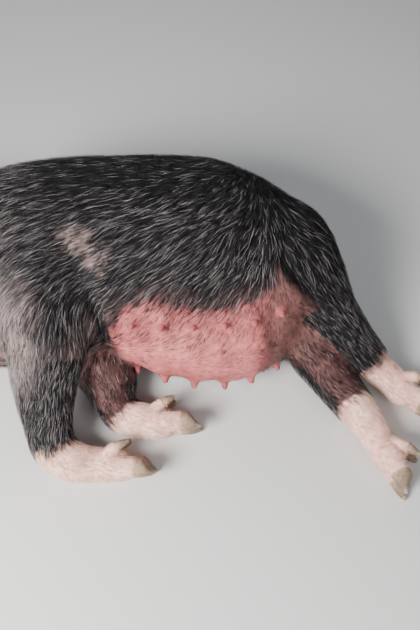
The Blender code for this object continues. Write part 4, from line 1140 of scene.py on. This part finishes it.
def mottle_group():
    """Varies a colour lighter and darker in cloudy spots."""
    sockets = {"Colour": "Color", "Scale": "Float", "Amount": "Float"}
    made, start, end = node_group("mottle", sockets, "Colour", "Color")
    where = added(made, "TexCoord")
    cloud = added(made, "TexNoise", {"Detail": 5.0})
    spread = added(made, "MapRange", {"From Min": 0.25, "From Max": 0.75})
    low = added(made, "Math", {0: 1.0}, operation="SUBTRACT")
    high = added(made, "Math", {0: 1.0}, operation="ADD")
    scaled = added(made, "VectorMath", operation="SCALE")
    link = made.links.new
    link(where.outputs["Object"], cloud.inputs["Vector"])
    link(start.outputs["Scale"], cloud.inputs["Scale"])
    link(start.outputs["Amount"], low.inputs[1])
    link(start.outputs["Amount"], high.inputs[1])
    link(cloud.outputs["Fac"], spread.inputs["Value"])
    link(low.outputs[0], spread.inputs["To Min"])
    link(high.outputs[0], spread.inputs["To Max"])
    link(start.outputs["Colour"], scaled.inputs[0])
    link(spread.outputs["Result"], scaled.inputs["Scale"])
    link(scaled.outputs[0], end.inputs["Colour"])
    return made


def furrow_group():
    """Height of a net of small skin furrows with grain on it, of a chosen size."""
    made, start, end = node_group("furrows", {"Scale": "Float"}, "Height", "Float")
    where = added(made, "TexCoord")
    drift = added(made, "TexNoise", {"Scale": 90.0, "Detail": 2.0})
    bent = added(made, "VectorMath", {1: (0.004, 0.004, 0.004)}, operation="MULTIPLY_ADD")
    cells = added(made, "TexVoronoi", feature="DISTANCE_TO_EDGE")
    valley = added(made, "MapRange", {"From Max": 0.16})
    grain = added(made, "TexNoise", {"Scale": 900.0, "Detail": 3.0})
    total = added(made, "Math", {1: 0.45}, operation="MULTIPLY_ADD")
    link = made.links.new
    link(where.outputs["Object"], drift.inputs["Vector"])
    link(drift.outputs["Color"], bent.inputs[0])
    link(where.outputs["Object"], bent.inputs[2])
    link(bent.outputs[0], cells.inputs["Vector"])
    link(start.outputs["Scale"], cells.inputs["Scale"])
    link(cells.outputs["Distance"], valley.inputs["Value"])
    link(where.outputs["Object"], grain.inputs["Vector"])
    link(grain.outputs["Fac"], total.inputs[0])
    link(valley.outputs["Result"], total.inputs[2])
    link(total.outputs[0], end.inputs["Height"])
    return made


MOTTLE = mottle_group()
FURROWS = furrow_group()


def plain_material(name, roughness, specular=0.5):
    """A material with its shader's constants set, and its node tree and shader."""
    made = bpy.data.materials.new(name)
    made.use_nodes = True
    shader = made.node_tree.nodes["Principled BSDF"]
    shader.inputs["Roughness"].default_value = roughness
    shader.inputs["Specular IOR Level"].default_value = specular
    return made, made.node_tree, shader


def mottled(tree, shader, colour, scale, amount):
    """Feeds a colour to the shader with cloudy spots in it."""
    spots = added(tree, "Group", node_tree=MOTTLE)
    spots.inputs["Scale"].default_value = scale
    spots.inputs["Amount"].default_value = amount
    tree.links.new(colour, spots.inputs["Colour"])
    tree.links.new(spots.outputs["Colour"], shader.inputs["Base Color"])


def furrowed(tree, scale):
    """The height of skin furrows of that scale."""
    net = added(tree, "Group", node_tree=FURROWS)
    net.inputs["Scale"].default_value = scale
    return net.outputs["Height"]


def bumped(tree, shader, height, strength, distance):
    """Feeds a height to the shader as relief."""
    bump = added(tree, "Bump", {"Strength": strength, "Distance": distance})
    tree.links.new(height, bump.inputs["Height"])
    tree.links.new(bump.outputs["Normal"], shader.inputs["Normal"])


def skin_material():
    """Bare skin in the colours of the markings."""
    made, tree, shader = plain_material("pig_skin", 0.6, 0.3)
    tone = added(tree, "Attribute", attribute_name="tone")
    mottled(tree, shader, tone.outputs["Color"], 130.0, 0.22)
    damp = added(tree, "Attribute", attribute_name="damp")
    gloss = added(tree, "MapRange", {"To Min": 0.66, "To Max": 0.27})
    tree.links.new(damp.outputs["Fac"], gloss.inputs["Value"])
    tree.links.new(gloss.outputs["Result"], shader.inputs["Roughness"])
    bumped(tree, shader, furrowed(tree, 760.0), 0.4, 0.0004)
    return made


skin.data.materials.clear()
skin.data.materials.append(skin_material())
skin.data.shade_smooth()
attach(skin, "root")
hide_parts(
    "head", "snout", "ear_left", "ear_right", "neck", "torso", "tail",
    "foreleg_left", "foreleg_right", "hindleg_left", "hindleg_right",
    "forefoot_left", "forefoot_right", "hindfoot_left", "hindfoot_right",
)

# Eyes
# Small dark eyes: a wet ball with a brown iris and a wide pupil, and a clear bulge in front. The
# ball's poles lie on the line of sight, so that its rings draw the iris.
EYE_BULGE = 0.0007
EYE_GAP = 0.0003
IRIS_BANDS = [  # distance from the line of sight, as a share of the radius, and colour
    (0.00, (0.003, 0.003, 0.004)),
    (0.30, (0.003, 0.003, 0.004)),
    (0.35, (0.020, 0.010, 0.006)),
    (0.55, (0.036, 0.018, 0.009)),
    (0.62, (0.006, 0.004, 0.003)),
    (0.78, (0.030, 0.018, 0.015)),
    (1.00, (0.12, 0.08, 0.065)),
]


def banded(tree, bands):
    """A colour ramp through bands of (position, colour), the first at 0 and the last at 1."""
    node = added(tree, "ValToRGB")
    stops = node.color_ramp.elements
    for stop, (_, colour) in zip(stops, (bands[0], bands[-1])):
        stop.color = (*colour, 1)
    for position, colour in bands[1:-1]:
        stops.new(position).color = (*colour, 1)
    return node


def eye_material():
    """A wet iris and pupil, drawn in rings round the line of sight."""
    made, tree, shader = plain_material("eye_wet", 0.06)
    shader.inputs["Coat Weight"].default_value = 1.0
    shader.inputs["Coat Roughness"].default_value = 0.02
    gaze = added(tree, "Attribute", attribute_name="gaze")
    parts = added(tree, "SeparateColor")
    rings = banded(tree, IRIS_BANDS)
    drawn = added(tree, "VectorMath", {1: (0.2, 1.0, 1.0)}, operation="MULTIPLY")
    fibres = added(tree, "TexNoise", {"Scale": 22.0, "Detail": 4.0})
    spread = added(tree, "MapRange", {"From Min": 0.3, "From Max": 0.7, "To Min": 0.4, "To Max": 1.8})
    streaked = added(tree, "VectorMath", operation="SCALE")
    link = tree.links.new
    link(gaze.outputs["Color"], parts.inputs["Color"])
    link(parts.outputs["Red"], rings.inputs["Fac"])
    link(gaze.outputs["Vector"], drawn.inputs[0])
    link(drawn.outputs["Vector"], fibres.inputs["Vector"])
    link(fibres.outputs["Fac"], spread.inputs["Value"])
    link(rings.outputs["Color"], streaked.inputs[0])
    link(spread.outputs["Result"], streaked.inputs["Scale"])
    mottled(tree, shader, streaked.outputs["Vector"], 500.0, 0.3)
    return made


wet_eye = eye_material()
for side, word in ((1, "left"), (-1, "right")):
    shape = bmesh.new()
    globe(shape, Matrix.Scale(EYE_RADIUS - EYE_GAP, 4), 64, 40)
    gazes = []
    for v in shape.verts:
        off = v.co.xy.length / EYE_RADIUS if v.co.z > 0 else 1.0
        angle = math.atan2(v.co.y, v.co.x)
        gazes.append((off, 0.5 + 0.5 * math.sin(angle), 0.5 + 0.5 * math.cos(angle)))
        v.co.z += EYE_BULGE * math.exp(-((off / 0.5) ** 2)) * (v.co.z > 0)
    shape.transform(Matrix.Translation(eye_middle(side)) @ eye_turn(side).to_4x4())
    eye = closed_object(f"eyeball_{word}", shape)
    store(eye.data, "gaze", np.array(gazes))
    eye.data.materials.append(wet_eye)
    eye.data.shade_smooth()
    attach(eye, "root")
    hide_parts(f"eye_{word}")

# Hooves and dew claws
# Horn grown in thin rings from the coronet to the toe, worn matt and scratched. Each hoof is a loft
# that curves down to its point, with its sole cut back underneath.
HOOF_LENGTH = 0.034
CLAW_LENGTH = 0.020
HORN_GAP = 0.0003
HORN_RING = 0.00010
HOOF_SECTIONS = [  # share of the length, front, back and side as shares of a toe
    (0.00, 1.00, 1.00, 0.95),
    (0.30, 0.95, 0.98, 0.96),
    (0.50, 0.88, 0.72, 0.92),
    (0.72, 0.76, 0.20, 0.78),
    (0.90, 0.62, -0.16, 0.54),
    (1.00, 0.50, -0.34, 0.26),
]
CLAW_SECTIONS = [(0, 1.0), (0.35, 0.95), (0.75, 0.68), (1, 0.30)]
HORN_FLOOR = 0.0004
HORN_BANDS = [  # share of the length, colour
    (0.00, (0.55, 0.36, 0.25)),
    (0.10, (0.36, 0.24, 0.15)),
    (0.45, (0.22, 0.15, 0.095)),
    (0.80, (0.16, 0.11, 0.07)),
    (1.00, (0.40, 0.31, 0.22)),
]


def horn_material():
    """Matt horn in bands of growth."""
    made, tree, shader = plain_material("horn", 0.42)
    growth = added(tree, "Attribute", attribute_name="growth").outputs["Fac"]
    shade = banded(tree, HORN_BANDS)
    wave = added(tree, "TexNoise", {"Scale": 22.0, "Detail": 3.0}, noise_dimensions="1D")
    total = added(tree, "Math", {1: 3.0}, operation="MULTIPLY_ADD")
    link = tree.links.new
    link(growth, shade.inputs["Fac"])
    mottled(tree, shader, shade.outputs["Color"], 240.0, 0.38)
    link(growth, wave.inputs["W"])
    link(wave.outputs["Fac"], total.inputs[0])
    link(furrowed(tree, 900.0), total.inputs[2])
    bumped(tree, shader, total.outputs[0], 0.6, 0.00030)
    return made


def grow_horn(shape, growth, start, ways, sections, length, radius):
    """Adds a hoof or a claw through its sections, and notes each point's share of the length in growth."""
    along, width, rise = ways
    loops = []
    for share, above, below, wide in sections:
        half = radius * (above + below) / 2
        ring = HORN_RING * (math.sin(share * 23) + 0.7 * math.sin(share * 41 + 1))
        centre = start + along * (HORN_GAP + length * share) + rise * (radius * above - half)
        sizes = (radius * wide + ring, radius * wide + ring, half + ring, half + ring)
        loops.append(oval_loop(shape, centre, width, rise, sizes, 2.3, 32))
        growth.update(dict.fromkeys(loops[-1], share))
    bridged(shape, loops)


horn = horn_material()
for foot in FEET:
    shape = bmesh.new()
    growth = {}
    for side in (1, -1):
        start, along, width, rise = toe_frame(foot, side)
        sections = smooth_rows(HOOF_SECTIONS, 6)
        tip = start + along * TOE_LENGTH
        grow_horn(shape, growth, tip, (along, width, rise), sections, HOOF_LENGTH, TOE_RADIUS * 0.985)
        base, along = claw_frame(foot, side)
        across = foot_axes(foot)[2]
        width = (across - along * along.dot(across)).normalized()
        sections = [(s, size, size * 0.8, size) for s, size in smooth_rows(CLAW_SECTIONS, 5)]
        ways = (along, width, along.cross(width))
        grow_horn(shape, growth, base, ways, sections, CLAW_LENGTH, CLAW_RADIUS * 0.97)
    shape.verts.index_update()
    shares = np.array([[growth.get(v, 1.0)] * 3 for v in shape.verts])
    for v in shape.verts:
        v.co.z = max(v.co.z, HORN_FLOOR)
    piece = closed_object(f"horn_{foot}", shape)
    store(piece.data, "growth", shares)
    piece.data.materials.append(horn)
    piece.data.shade_smooth()
    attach(piece, "root")
    limb = foot.replace("foot", "")
    parts = [f"{kind}_{limb}_{row}" for kind in ("hoof", "dewclaw") for row in ("upper", "lower")]
    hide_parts(*parts)

# Coat
# Coarse, glossy bristles, 3 to 4 cm long on the trunk and short on the face and legs. They lie down
# and towards the head on the barrel, towards the tail on neck and haunch, and down each leg. Each
# tuft is a thin three-sided sliver rooted in the skin that bends over and ends in a point.
# Pale tufts among the black ones are painted highlights, standing in for the sheen of the bristles.
SEED = 20
MOST_TUFTS = 262000  # for each square metre
LIE = [  # x, lean towards the tail for each step towards the belly
    (-0.62, 1.6), (-0.50, 0.9), (-0.40, -0.2), (-0.33, -0.9), (-0.25, -1.5), (-0.08, -1.5),
    (0.00, -1.15), (0.07, -0.55), (0.12, 0.0), (0.17, 0.7), (0.22, 1.5),
]
BODY_MIDDLE = 0.14
OVER_BACK = (-0.42, 0.12)
BLACK_HAIR = (0.0060, 0.0058, 0.0066)
HIGHLIGHT_HAIR = (0.48, 0.425, 0.415)
SOCK_HAIR = (1.0, 0.72, 0.58)
BELLY_HAIR = (0.060, 0.034, 0.030)
TRUNK_COAT = (0.036, 0.50, 0.50, 0.0062)  # length in m, width in mm, share of all tufts, tip's height in m
EAR_COAT = (0.0125, 0.42, 0.95, 0.0022, 0.05)
KINDS_OF_COAT = {  # as TRUNK_COAT, and the share of pale tufts that are painted highlights; a later kind overrules an earlier one
    "limb": (0.022, 0.50, 0.72, 0.0040, 0.30),
    "head": (0.019, 0.50, 0.95, 0.0030, 0.10),
    "face": (0.0100, 0.40, 1.00, 0.0018, 0.06),
    "fringe": (0.030, 0.46, 0.42, 0.0050, 0.30),
    # The lit upper arm: its many bright tufts are painted light.
    "lit_arm": (0.028, 0.44, 0.42, 0.0055, 0.62),
    "thin": (0.026, 0.44, 0.30, 0.0050, 0.30),
    "brisket": (0.024, 0.50, 0.22, 0.0060, 0.22),
    "inner": (0.018, 0.48, 0.34, 0.0040, 0.12),
    "groin": (0.020, 0.44, 0.13, 0.0045, 0.08),
    "belly": (0.015, 0.38, 0.050, 0.0035, 0.03),
    "edge": (0.020, 0.40, 0.26, 0.0040, 0.10),
    "teat": (0.004, 0.30, 0.00, 0.0010, 0.0),
    "sock": (0.0105, 0.42, 0.60, 0.0020, 0.0),
    "lid": (0.0050, 0.34, 0.35, 0.0016, 0.0),
    "lip": (0.0060, 0.34, 0.55, 0.0016, 0.05),
    "snout": (0.0030, 0.28, 0.02, 0.0010, 0.0),
}
ROOT_DEPTH = 0.0012
BEND_SHARE = 0.45
LOCK_REACH = 0.012
LOCK_PULL = 0.24
COAT_FLOOR = 0.0012
ZONE_NAMES = [
    "coat_face", "coat_cheeks", "coat_ears", "coat_forelegs", "coat_hindlegs", "coat_neck",
    "coat_shoulder", "coat_ribs", "coat_barrel", "coat_flank", "coat_rump",
]
ZONE_ENDS = (-0.36, -0.22, -0.10, 0.02, 0.13)  # x where neck, shoulder, ribs, barrel and flank end


def sampled(obj, count, chance, layers):
    """Random points all over a mesh: their places, ways, map places and the layers' values there."""
    mesh = obj.data
    mesh.calc_loop_triangles()
    corners = np.empty(len(mesh.loop_triangles) * 3, np.int32)
    mesh.loop_triangles.foreach_get("vertices", corners)
    loops = np.empty(len(mesh.loop_triangles) * 3, np.int32)
    mesh.loop_triangles.foreach_get("loops", loops)
    corners, loops = corners.reshape(-1, 3), loops.reshape(-1, 3)
    places = points_of(mesh)
    a, b, c = (places[corners[:, k]] for k in range(3))
    areas = np.linalg.norm(np.cross(b - a, c - a), axis=1) / 2
    picked = chance.choice(len(areas), int(count * areas.sum()), p=areas / areas.sum())
    cut = np.sort(chance.random((len(picked), 2)), axis=1)
    shares = np.stack([cut[:, 0], cut[:, 1] - cut[:, 0], 1 - cut[:, 1]], 1)
    uv = np.empty(len(mesh.loops) * 2, np.float32)
    mesh.uv_layers["OFBake"].uv.foreach_get("vector", uv)

    def mixed(values, index):
        return np.einsum("nk,nkd->nd", shares, values[index[picked]])

    found = mixed(normals_of(mesh), corners)
    found /= np.linalg.norm(found, axis=1)[:, None]
    values = mixed(np.stack(layers, 1), corners)
    return mixed(places, corners), found, mixed(uv.reshape(-1, 2), loops), values.T


def flat_on(flow, ways):
    """The flow with what points out of the surface taken away."""
    flow = flow - ways * (flow * ways).sum(1)[:, None]
    return flow / np.maximum(np.linalg.norm(flow, axis=1), 1e-9)[:, None]


def tail_places(places):
    """For many points: how much they are on the tail, the share of its length, and the way along it."""
    spine = tail_rows[:, :3]
    course = np.gradient(spine, axis=0)
    course /= np.linalg.norm(course, axis=1)[:, None]
    near = np.nonzero((places[:, :2] > (0.15, 0.02)).all(1))[0]
    on, share = np.zeros((2, len(places)))
    way = np.zeros((len(places), 3))
    gaps = np.linalg.norm(places[near, None] - spine[None], axis=2) - tail_rows[:, 3]
    closest = gaps.argmin(1)
    share[near] = closest / (len(spine) - 1)
    on[near] = (1 - ramp(gaps.min(1), 0.003, 0.012)) * ramp(share[near], 0.03, 0.12)
    way[near] = course[closest]
    return on, share, way


def coat_lie(places, ways, leaf):
    """The way the coat lies at many points."""
    x, y, z = places.T
    along, out, _ = head_places(places).T
    off, station, down, _ = limb_places(places)
    lean = np.interp(x, *np.array(LIE).T) * (1 + 0.9 * ramp(y, -0.04, 0.12) * (x < -0.02))
    sink = -np.tanh((z - BODY_MIDDLE) / 0.02) * ramp(-y, 0.12, 0.19)
    flow = np.stack([lean, np.full(len(x), -1.0), sink], 1)
    over = ramp(y, 0.0, 0.07) * np.exp(-(((x[:, None] - OVER_BACK) / 0.10) ** 2)).sum(1)
    flow[:, 1:] += (np.stack([-ways[:, 2], ways[:, 1]], 1) - flow[:, 1:]) * over[:, None]
    flow /= np.linalg.norm(flow, axis=1)[:, None]
    share = np.clip(1 - np.maximum(off, 0) / 0.05, 0, 1) * 0.85 * ramp(station, 0.9, 2.0)
    flow += (down - flow) * share[:, None]
    on_tail, _, tail_way = tail_places(places)
    flow += (tail_way - flow) * on_tail[:, None]
    back = -np.array(AHEAD) * 1.0 - np.array(CROWN) * 0.35
    flow += (back - flow) * ramp(along, -0.05, 0.02)[:, None]
    for side in (1, -1):
        mine = leaf * (out * side > 0)
        flow += (np.array(ear_axes(side)[1]) - flow) * mine[:, None]
    wander = 0.15 * ripple(places, 0.08, 7) + 0.07 * ripple(places, 0.02, 8)
    return flat_on(flow + np.cross(ways, flow) * wander[:, None], ways)


def drawn_to(values, aims, share):
    """Draws each of some arrays of values towards its aim, by a share for each point."""
    for now, aim in zip(values, aims):
        now += (aim - now) * share


def coat_values(places, ways, leaf, chance):
    """For many roots: share of the full density, length, width, height of the tip, colour."""
    marks = markings(places, ways, leaf)
    x, y, _ = places.T
    n = len(places)
    long, thick, many, lift = (np.full(n, value) for value in TRUNK_COAT)
    # Painted highlights: the share of pale tufts, with more of them low on the flank and on the neck, where
    # the key light falls, and fewest on the back.
    highlight_share = 0.06 + 0.22 * ramp(-y, -0.05, 0.12) * (1 - 0.6 * ramp(x, 0.10, 0.18))
    highlight_share += 0.30 * ramp(-x, 0.22, 0.34)
    values = (long, thick, many, lift, highlight_share)
    for kind, aims in KINDS_OF_COAT.items():
        drawn_to(values, aims, marks[kind])
    drawn_to(values, EAR_COAT, leaf)
    many *= 1 - 0.60 * marks["ear_inside"]
    on_tail, share, _ = tail_places(places)
    drawn_to(values, (0.016 + 0.034 * ramp(share, 0.4, 0.95), 0.50, 0.95, 0.0045), on_tail)
    mane = ramp(y, 0.09, 0.14) * ramp(-x, 0.10, 0.22) * (1 - marks["head"])
    long += 0.012 * mane
    lift += 0.004 * mane
    tone = np.tile(np.array(BLACK_HAIR), (n, 1)) * chance.uniform(0.5, 2.4, (n, 1))
    # More painted highlight tufts on the forelegs, and brighter ones on the lit upper arm.
    highlight_share += 0.16 * marks["limb"] * ramp(-x, 0.20, 0.24)
    is_highlight = chance.random(n) < highlight_share
    paleness = chance.uniform(0.15, 1.0, n) ** (1.7 - 0.9 * marks["lit_arm"])
    tone = tinted(tone, HIGHLIGHT_HAIR, is_highlight * paleness)
    tone = tinted(tone, BELLY_HAIR, marks["belly"] * (1 - marks["edge"]) + marks["groin"] * 0.4)
    is_pale = marks["sock"] > chance.random(n)
    tone = tinted(tone, SOCK_HAIR, is_pale * chance.uniform(0.75, 1.0, n))
    long = long * chance.uniform(0.72, 1.18, n)
    wide = thick * 0.001 * chance.uniform(0.75, 1.3, n)
    return many, long, wide, lift, tone


def nearest_on(tree, places, ways):
    """The places on the skin nearest to many points, and the ways it faces there."""
    found, facing = places.copy(), ways.copy()
    for k, p in enumerate(places.tolist()):
        spot, way, _, _ = tree.find_nearest(p)
        found[k], facing[k] = spot, way
    return found, facing


def tuft_mesh(name, rings, tips, tones, spots):
    """One mesh of slivers: two rings of three points and a tip each, with colours and map places."""
    count = len(tips)
    points = np.concatenate([rings[0], rings[1], tips[:, None]], 1).reshape(-1, 3)
    sides = [(0, 2, 1)]
    for k in range(3):
        j = (k + 1) % 3
        sides += [(k, j, 3 + j), (k, 3 + j, 3 + k), (3 + k, 3 + j, 6)]
    faces = (np.arange(count)[:, None, None] * 7 + np.array(sides)[None]).reshape(-1)
    mesh = bpy.data.meshes.new(name)
    mesh.vertices.add(len(points))
    mesh.vertices.foreach_set("co", points.astype(np.float32).ravel())
    mesh.loops.add(len(faces))
    mesh.loops.foreach_set("vertex_index", faces.astype(np.int32))
    mesh.polygons.add(len(faces) // 3)
    mesh.polygons.foreach_set("loop_start", np.arange(0, len(faces), 3, dtype=np.int32))
    mesh.update(calc_edges=True)
    # Painted shade and highlight: each tuft is darker at its root, among the other hairs, and lighter at
    # its tip.
    root_shade_tip_highlight = np.array([0.55, 0.55, 0.60, 1.0, 1.0, 1.1, 1.35])
    store(mesh, "tone", np.clip(tones[:, None] * root_shade_tip_highlight[None, :, None], 0, 1).reshape(-1, 3))
    patch = np.array([(-1, -1), (1, -1), (0, -0.7), (-0.8, 0.1), (0.8, 0.1), (0, 0.4), (0, 1)]) * 0.0015
    layer = mesh.uv_layers.new(name="OFBake")
    spread = (spots[:, None] + patch[None]).reshape(-1, 2)
    layer.uv.foreach_set("vector", np.clip(spread[faces], 0, 1).astype(np.float32).ravel())
    mesh.shade_smooth()
    obj = bpy.data.objects.new(name, mesh)
    bpy.context.scene.collection.objects.link(obj)
    return obj


def hair_material():
    """Glossy bristle in the colours of the tufts."""
    made, tree, shader = plain_material("bristle", 0.36, 0.22)
    tone = added(tree, "Attribute", attribute_name="tone")
    mottled(tree, shader, tone.outputs["Color"], 70.0, 0.25)
    return made


def coat_piece(name, rings, tips, tones, spots):
    """A piece of the coat, which rides as the skin does."""
    piece = tuft_mesh(name, rings, tips, tones, spots)
    piece.data.materials.append(bristle)
    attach(piece, "root")


bpy.context.view_layer.objects.active = skin
skin.select_set(True)
skin.data.uv_layers.new(name="OFBake")
bpy.ops.object.mode_set(mode="EDIT")
bpy.ops.mesh.select_all(action="SELECT")
bpy.ops.uv.smart_project(angle_limit=math.radians(66), island_margin=0.002)
bpy.ops.object.mode_set(mode="OBJECT")

chance = np.random.default_rng(SEED)
bristle = hair_material()
roots, faces_out, spots, (leaf_here, crease_shade) = sampled(skin, MOST_TUFTS, chance, [leaf, creases])
many, long, wide, lift, tones = coat_values(roots, faces_out, leaf_here, chance)
# Painted shade: tufts rooted in a crease are darker.
tones *= (1 - 0.65 * crease_shade)[:, None]
kept = chance.random(len(roots)) < many
kept &= roots[:, 2] > 0.003
roots, faces_out, spots, leaf_here = roots[kept], faces_out[kept], spots[kept], leaf_here[kept]
long, wide, lift, tones = long[kept], wide[kept], lift[kept], tones[kept]
skin_tree = tree_of([skin])
lie = coat_lie(roots, faces_out, leaf_here)
twist = chance.normal(0, 0.20, len(roots))
lie = flat_on(lie + np.cross(faces_out, lie) * twist[:, None], faces_out)
bend, bend_out = nearest_on(skin_tree, roots + lie * (long * BEND_SHARE)[:, None], faces_out)
further = flat_on(coat_lie(bend, bend_out, leaf_here) + np.cross(bend_out, lie) * twist[:, None], bend_out)
tips, tips_out = nearest_on(skin_tree, bend + further * (long * (1 - BEND_SHARE))[:, None], bend_out)
heights = lift * chance.uniform(0.5, 1.5, len(roots))
bend += bend_out * (heights * 0.62)[:, None]
tips += tips_out * heights[:, None]

seeds = chance.choice(len(roots), len(roots) // 9, replace=False)
finder = KDTree(len(seeds))
for k, number in enumerate(seeds.tolist()):
    finder.insert(roots[number], number)
finder.balance()
leader = np.array([finder.find(p)[1] for p in roots.tolist()])
together = np.linalg.norm(roots - roots[leader], axis=1) < LOCK_REACH
pull = (LOCK_PULL * together * (1 - leaf_here))[:, None]
tips += (tips[leader] - tips) * pull
bend += (bend[leader] - bend) * pull * 0.5
for spot in (bend, tips):
    spot[:, 2] = np.maximum(spot[:, 2], COAT_FLOOR)

across = np.cross(faces_out, lie)


def ring_at(middle, across, out, width):
    """Three points round a tuft: two at its edges and one on top."""
    half = across * (width / 2)[:, None]
    return np.stack([middle - half, middle + half, middle + out * (width * 0.5)[:, None]], 1)


root_rings = ring_at(roots - faces_out * ROOT_DEPTH, across, faces_out, wide)
bend_rings = ring_at(bend, across, bend_out, wide * 0.85)
head_along = head_places(roots)[:, 0]
off, station, _, _ = limb_places(roots)
on_leg = (off < 0.012) & (station > 2.0)
root_xs = roots[:, 0]
zones = np.select(
    [
        head_along > 0.075,
        (head_along > -0.01) & (leaf_here < 0.5),
        leaf_here >= 0.5,
        on_leg & (root_xs < 0),
        on_leg,
        *[root_xs < end for end in ZONE_ENDS],
    ],
    range(len(ZONE_NAMES) - 1),
    len(ZONE_NAMES) - 1,
)
for number, name in enumerate(ZONE_NAMES):
    mine = zones == number
    coat_piece(name, (root_rings[mine], bend_rings[mine]), tips[mine], tones[mine], spots[mine])

# Lashes, brows and whiskers
# Stiff dark lashes along the upper lids, long brow hairs, and scattered whiskers on muzzle and chin.
LASHES = 26
LASH_LENGTH = 0.0085
WHISKER_WIDTH = 0.00042
WHISKERS = [  # how many, along from and to, up from and to, length
    (70, 0.125, 0.198, -0.020, 0.012, 0.022),
    (60, 0.100, 0.190, -0.075, -0.035, 0.024),
    (26, 0.082, 0.112, 0.030, 0.055, 0.024),
    (16, 0.070, 0.100, -0.020, 0.000, 0.030),
]


def stiff(starts, ways, outs, lengths, width):
    """Rings and tips of bristles that bend a little outwards from their starts."""
    across = np.cross(ways, outs)
    across /= np.maximum(np.linalg.norm(across, axis=1), 1e-9)[:, None]
    middle = starts + (ways * 0.50 + outs * 0.03) * lengths[:, None]
    ends = starts + (ways * 0.96 + outs * 0.22) * lengths[:, None]
    thick = np.full(len(starts), width)
    root = ring_at(starts - outs * 0.0010, across, outs, thick)
    return root, ring_at(middle, across, outs, thick * 0.8), ends


starts, ways_out, outs, lengths = [], [], [], []
for side in (1, -1):
    middle, look, slit = eye_frame(side)
    up = look.cross(slit)
    up *= math.copysign(1, up.dot(CROWN))
    for share in np.linspace(-0.92, 0.92, LASHES):
        wobble = chance.normal(0, 0.08)
        rise = EYE_SLIT[1] * (1 - share * share) ** 0.5 + 0.0006
        flat = slit * (share * EYE_SLIT[0]) + up * rise
        deep = math.sqrt(max((EYE_RADIUS + LID_THICKNESS) ** 2 - flat.length_squared, 0))
        starts.append(middle + flat + look * (deep - 0.0008))
        ways_out.append((look * 0.72 + up * (0.42 + wobble) + slit * (share * 0.55 + wobble)).normalized())
        outs.append(up)
        lengths.append(LASH_LENGTH * (1 - 0.35 * share * share))
    for count, first, last, low, high, length in WHISKERS:
        for _ in range(count):
            along, height = chance.uniform(first, last), chance.uniform(low, high)
            hit = skin_tree.ray_cast(in_head(along, side * 0.16, height), -LEFT * side)
            if hit[0] is None or hit[0].z < 0.004:
                continue
            starts.append(hit[0])
            ways_out.append((hit[1] * 0.75 - AHEAD * chance.uniform(0.1, 0.7) - CROWN * 0.15).normalized())
            outs.append(hit[1])
            lengths.append(length * chance.uniform(0.6, 1.2))
starts, ways_out, outs, lengths = (np.array(rows, float) for rows in (starts, ways_out, outs, lengths))
root_rings, bend_rings, tips = stiff(starts, ways_out, outs, lengths, WHISKER_WIDTH)
tips[:, 2] = np.maximum(tips[:, 2], COAT_FLOOR)
bend_rings[..., 2] = np.maximum(bend_rings[..., 2], COAT_FLOOR)
near_root = KDTree(len(roots))
for k, p in enumerate(roots.tolist()):
    near_root.insert(p, k)
near_root.balance()
spots_here = np.array([spots[near_root.find(p)[1]] for p in starts.tolist()])
tones_here = np.tile(np.array(BLACK_HAIR), (len(starts), 1)) * chance.uniform(0.6, 2.0, (len(starts), 1))
coat_piece("whiskers", (root_rings, bend_rings), tips, tones_here, spots_here)

# Floor, light and camera
# A plain pale floor with soft studio light. The camera looks down on her as the photograph does.
LAMPS = [  # name, place, where it points, size, power
    ("key", (-0.90, -1.20, 1.15), (-0.12, -0.15, 0.12), 0.7, 76),
    ("fill", (0.9, -1.5, 1.1), (0.05, -0.15, 0.1), 1.4, 14),
    ("rim", (-0.5, 1.6, 1.7), (-0.2, 0, 0.1), 1.2, 9),
]
CAMERA_PLACE = (0.0214, -0.74, 1.01)
CAMERA_DOWN = 56  # degrees below level
shape = bmesh.new()
bmesh.ops.create_grid(shape, x_segments=1, y_segments=1, size=6)
floor = made_object("floor", shape)
floor_paint, _, shader = plain_material("floor_paint", 0.8)
shader.inputs["Base Color"].default_value = (0.62, 0.61, 0.59, 1)
floor.data.materials.append(floor_paint)
world = bpy.data.worlds.new("studio")
bpy.context.scene.world = world
world.use_nodes = True
sky = world.node_tree.nodes["Background"]
sky.inputs["Color"].default_value = (0.80, 0.88, 1.0, 1)
sky.inputs["Strength"].default_value = 0.24
for name, place, aim, size, power in LAMPS:
    lamp = bpy.data.lights.new(name, "AREA")
    lamp.size = size
    lamp.energy = power
    light = bpy.data.objects.new(name, lamp)
    light.location = place
    light.rotation_euler = (Vector(aim) - Vector(place)).to_track_quat("-Z", "Y").to_euler()
    bpy.context.scene.collection.objects.link(light)
view = bpy.data.cameras.new("camera")
view.sensor_width = 36
view.lens = 35.43
camera = bpy.data.objects.new("camera", view)
camera.location = CAMERA_PLACE
camera.rotation_euler = (math.radians(90 - CAMERA_DOWN), 0, 0)
bpy.context.scene.collection.objects.link(camera)
bpy.context.scene.camera = camera
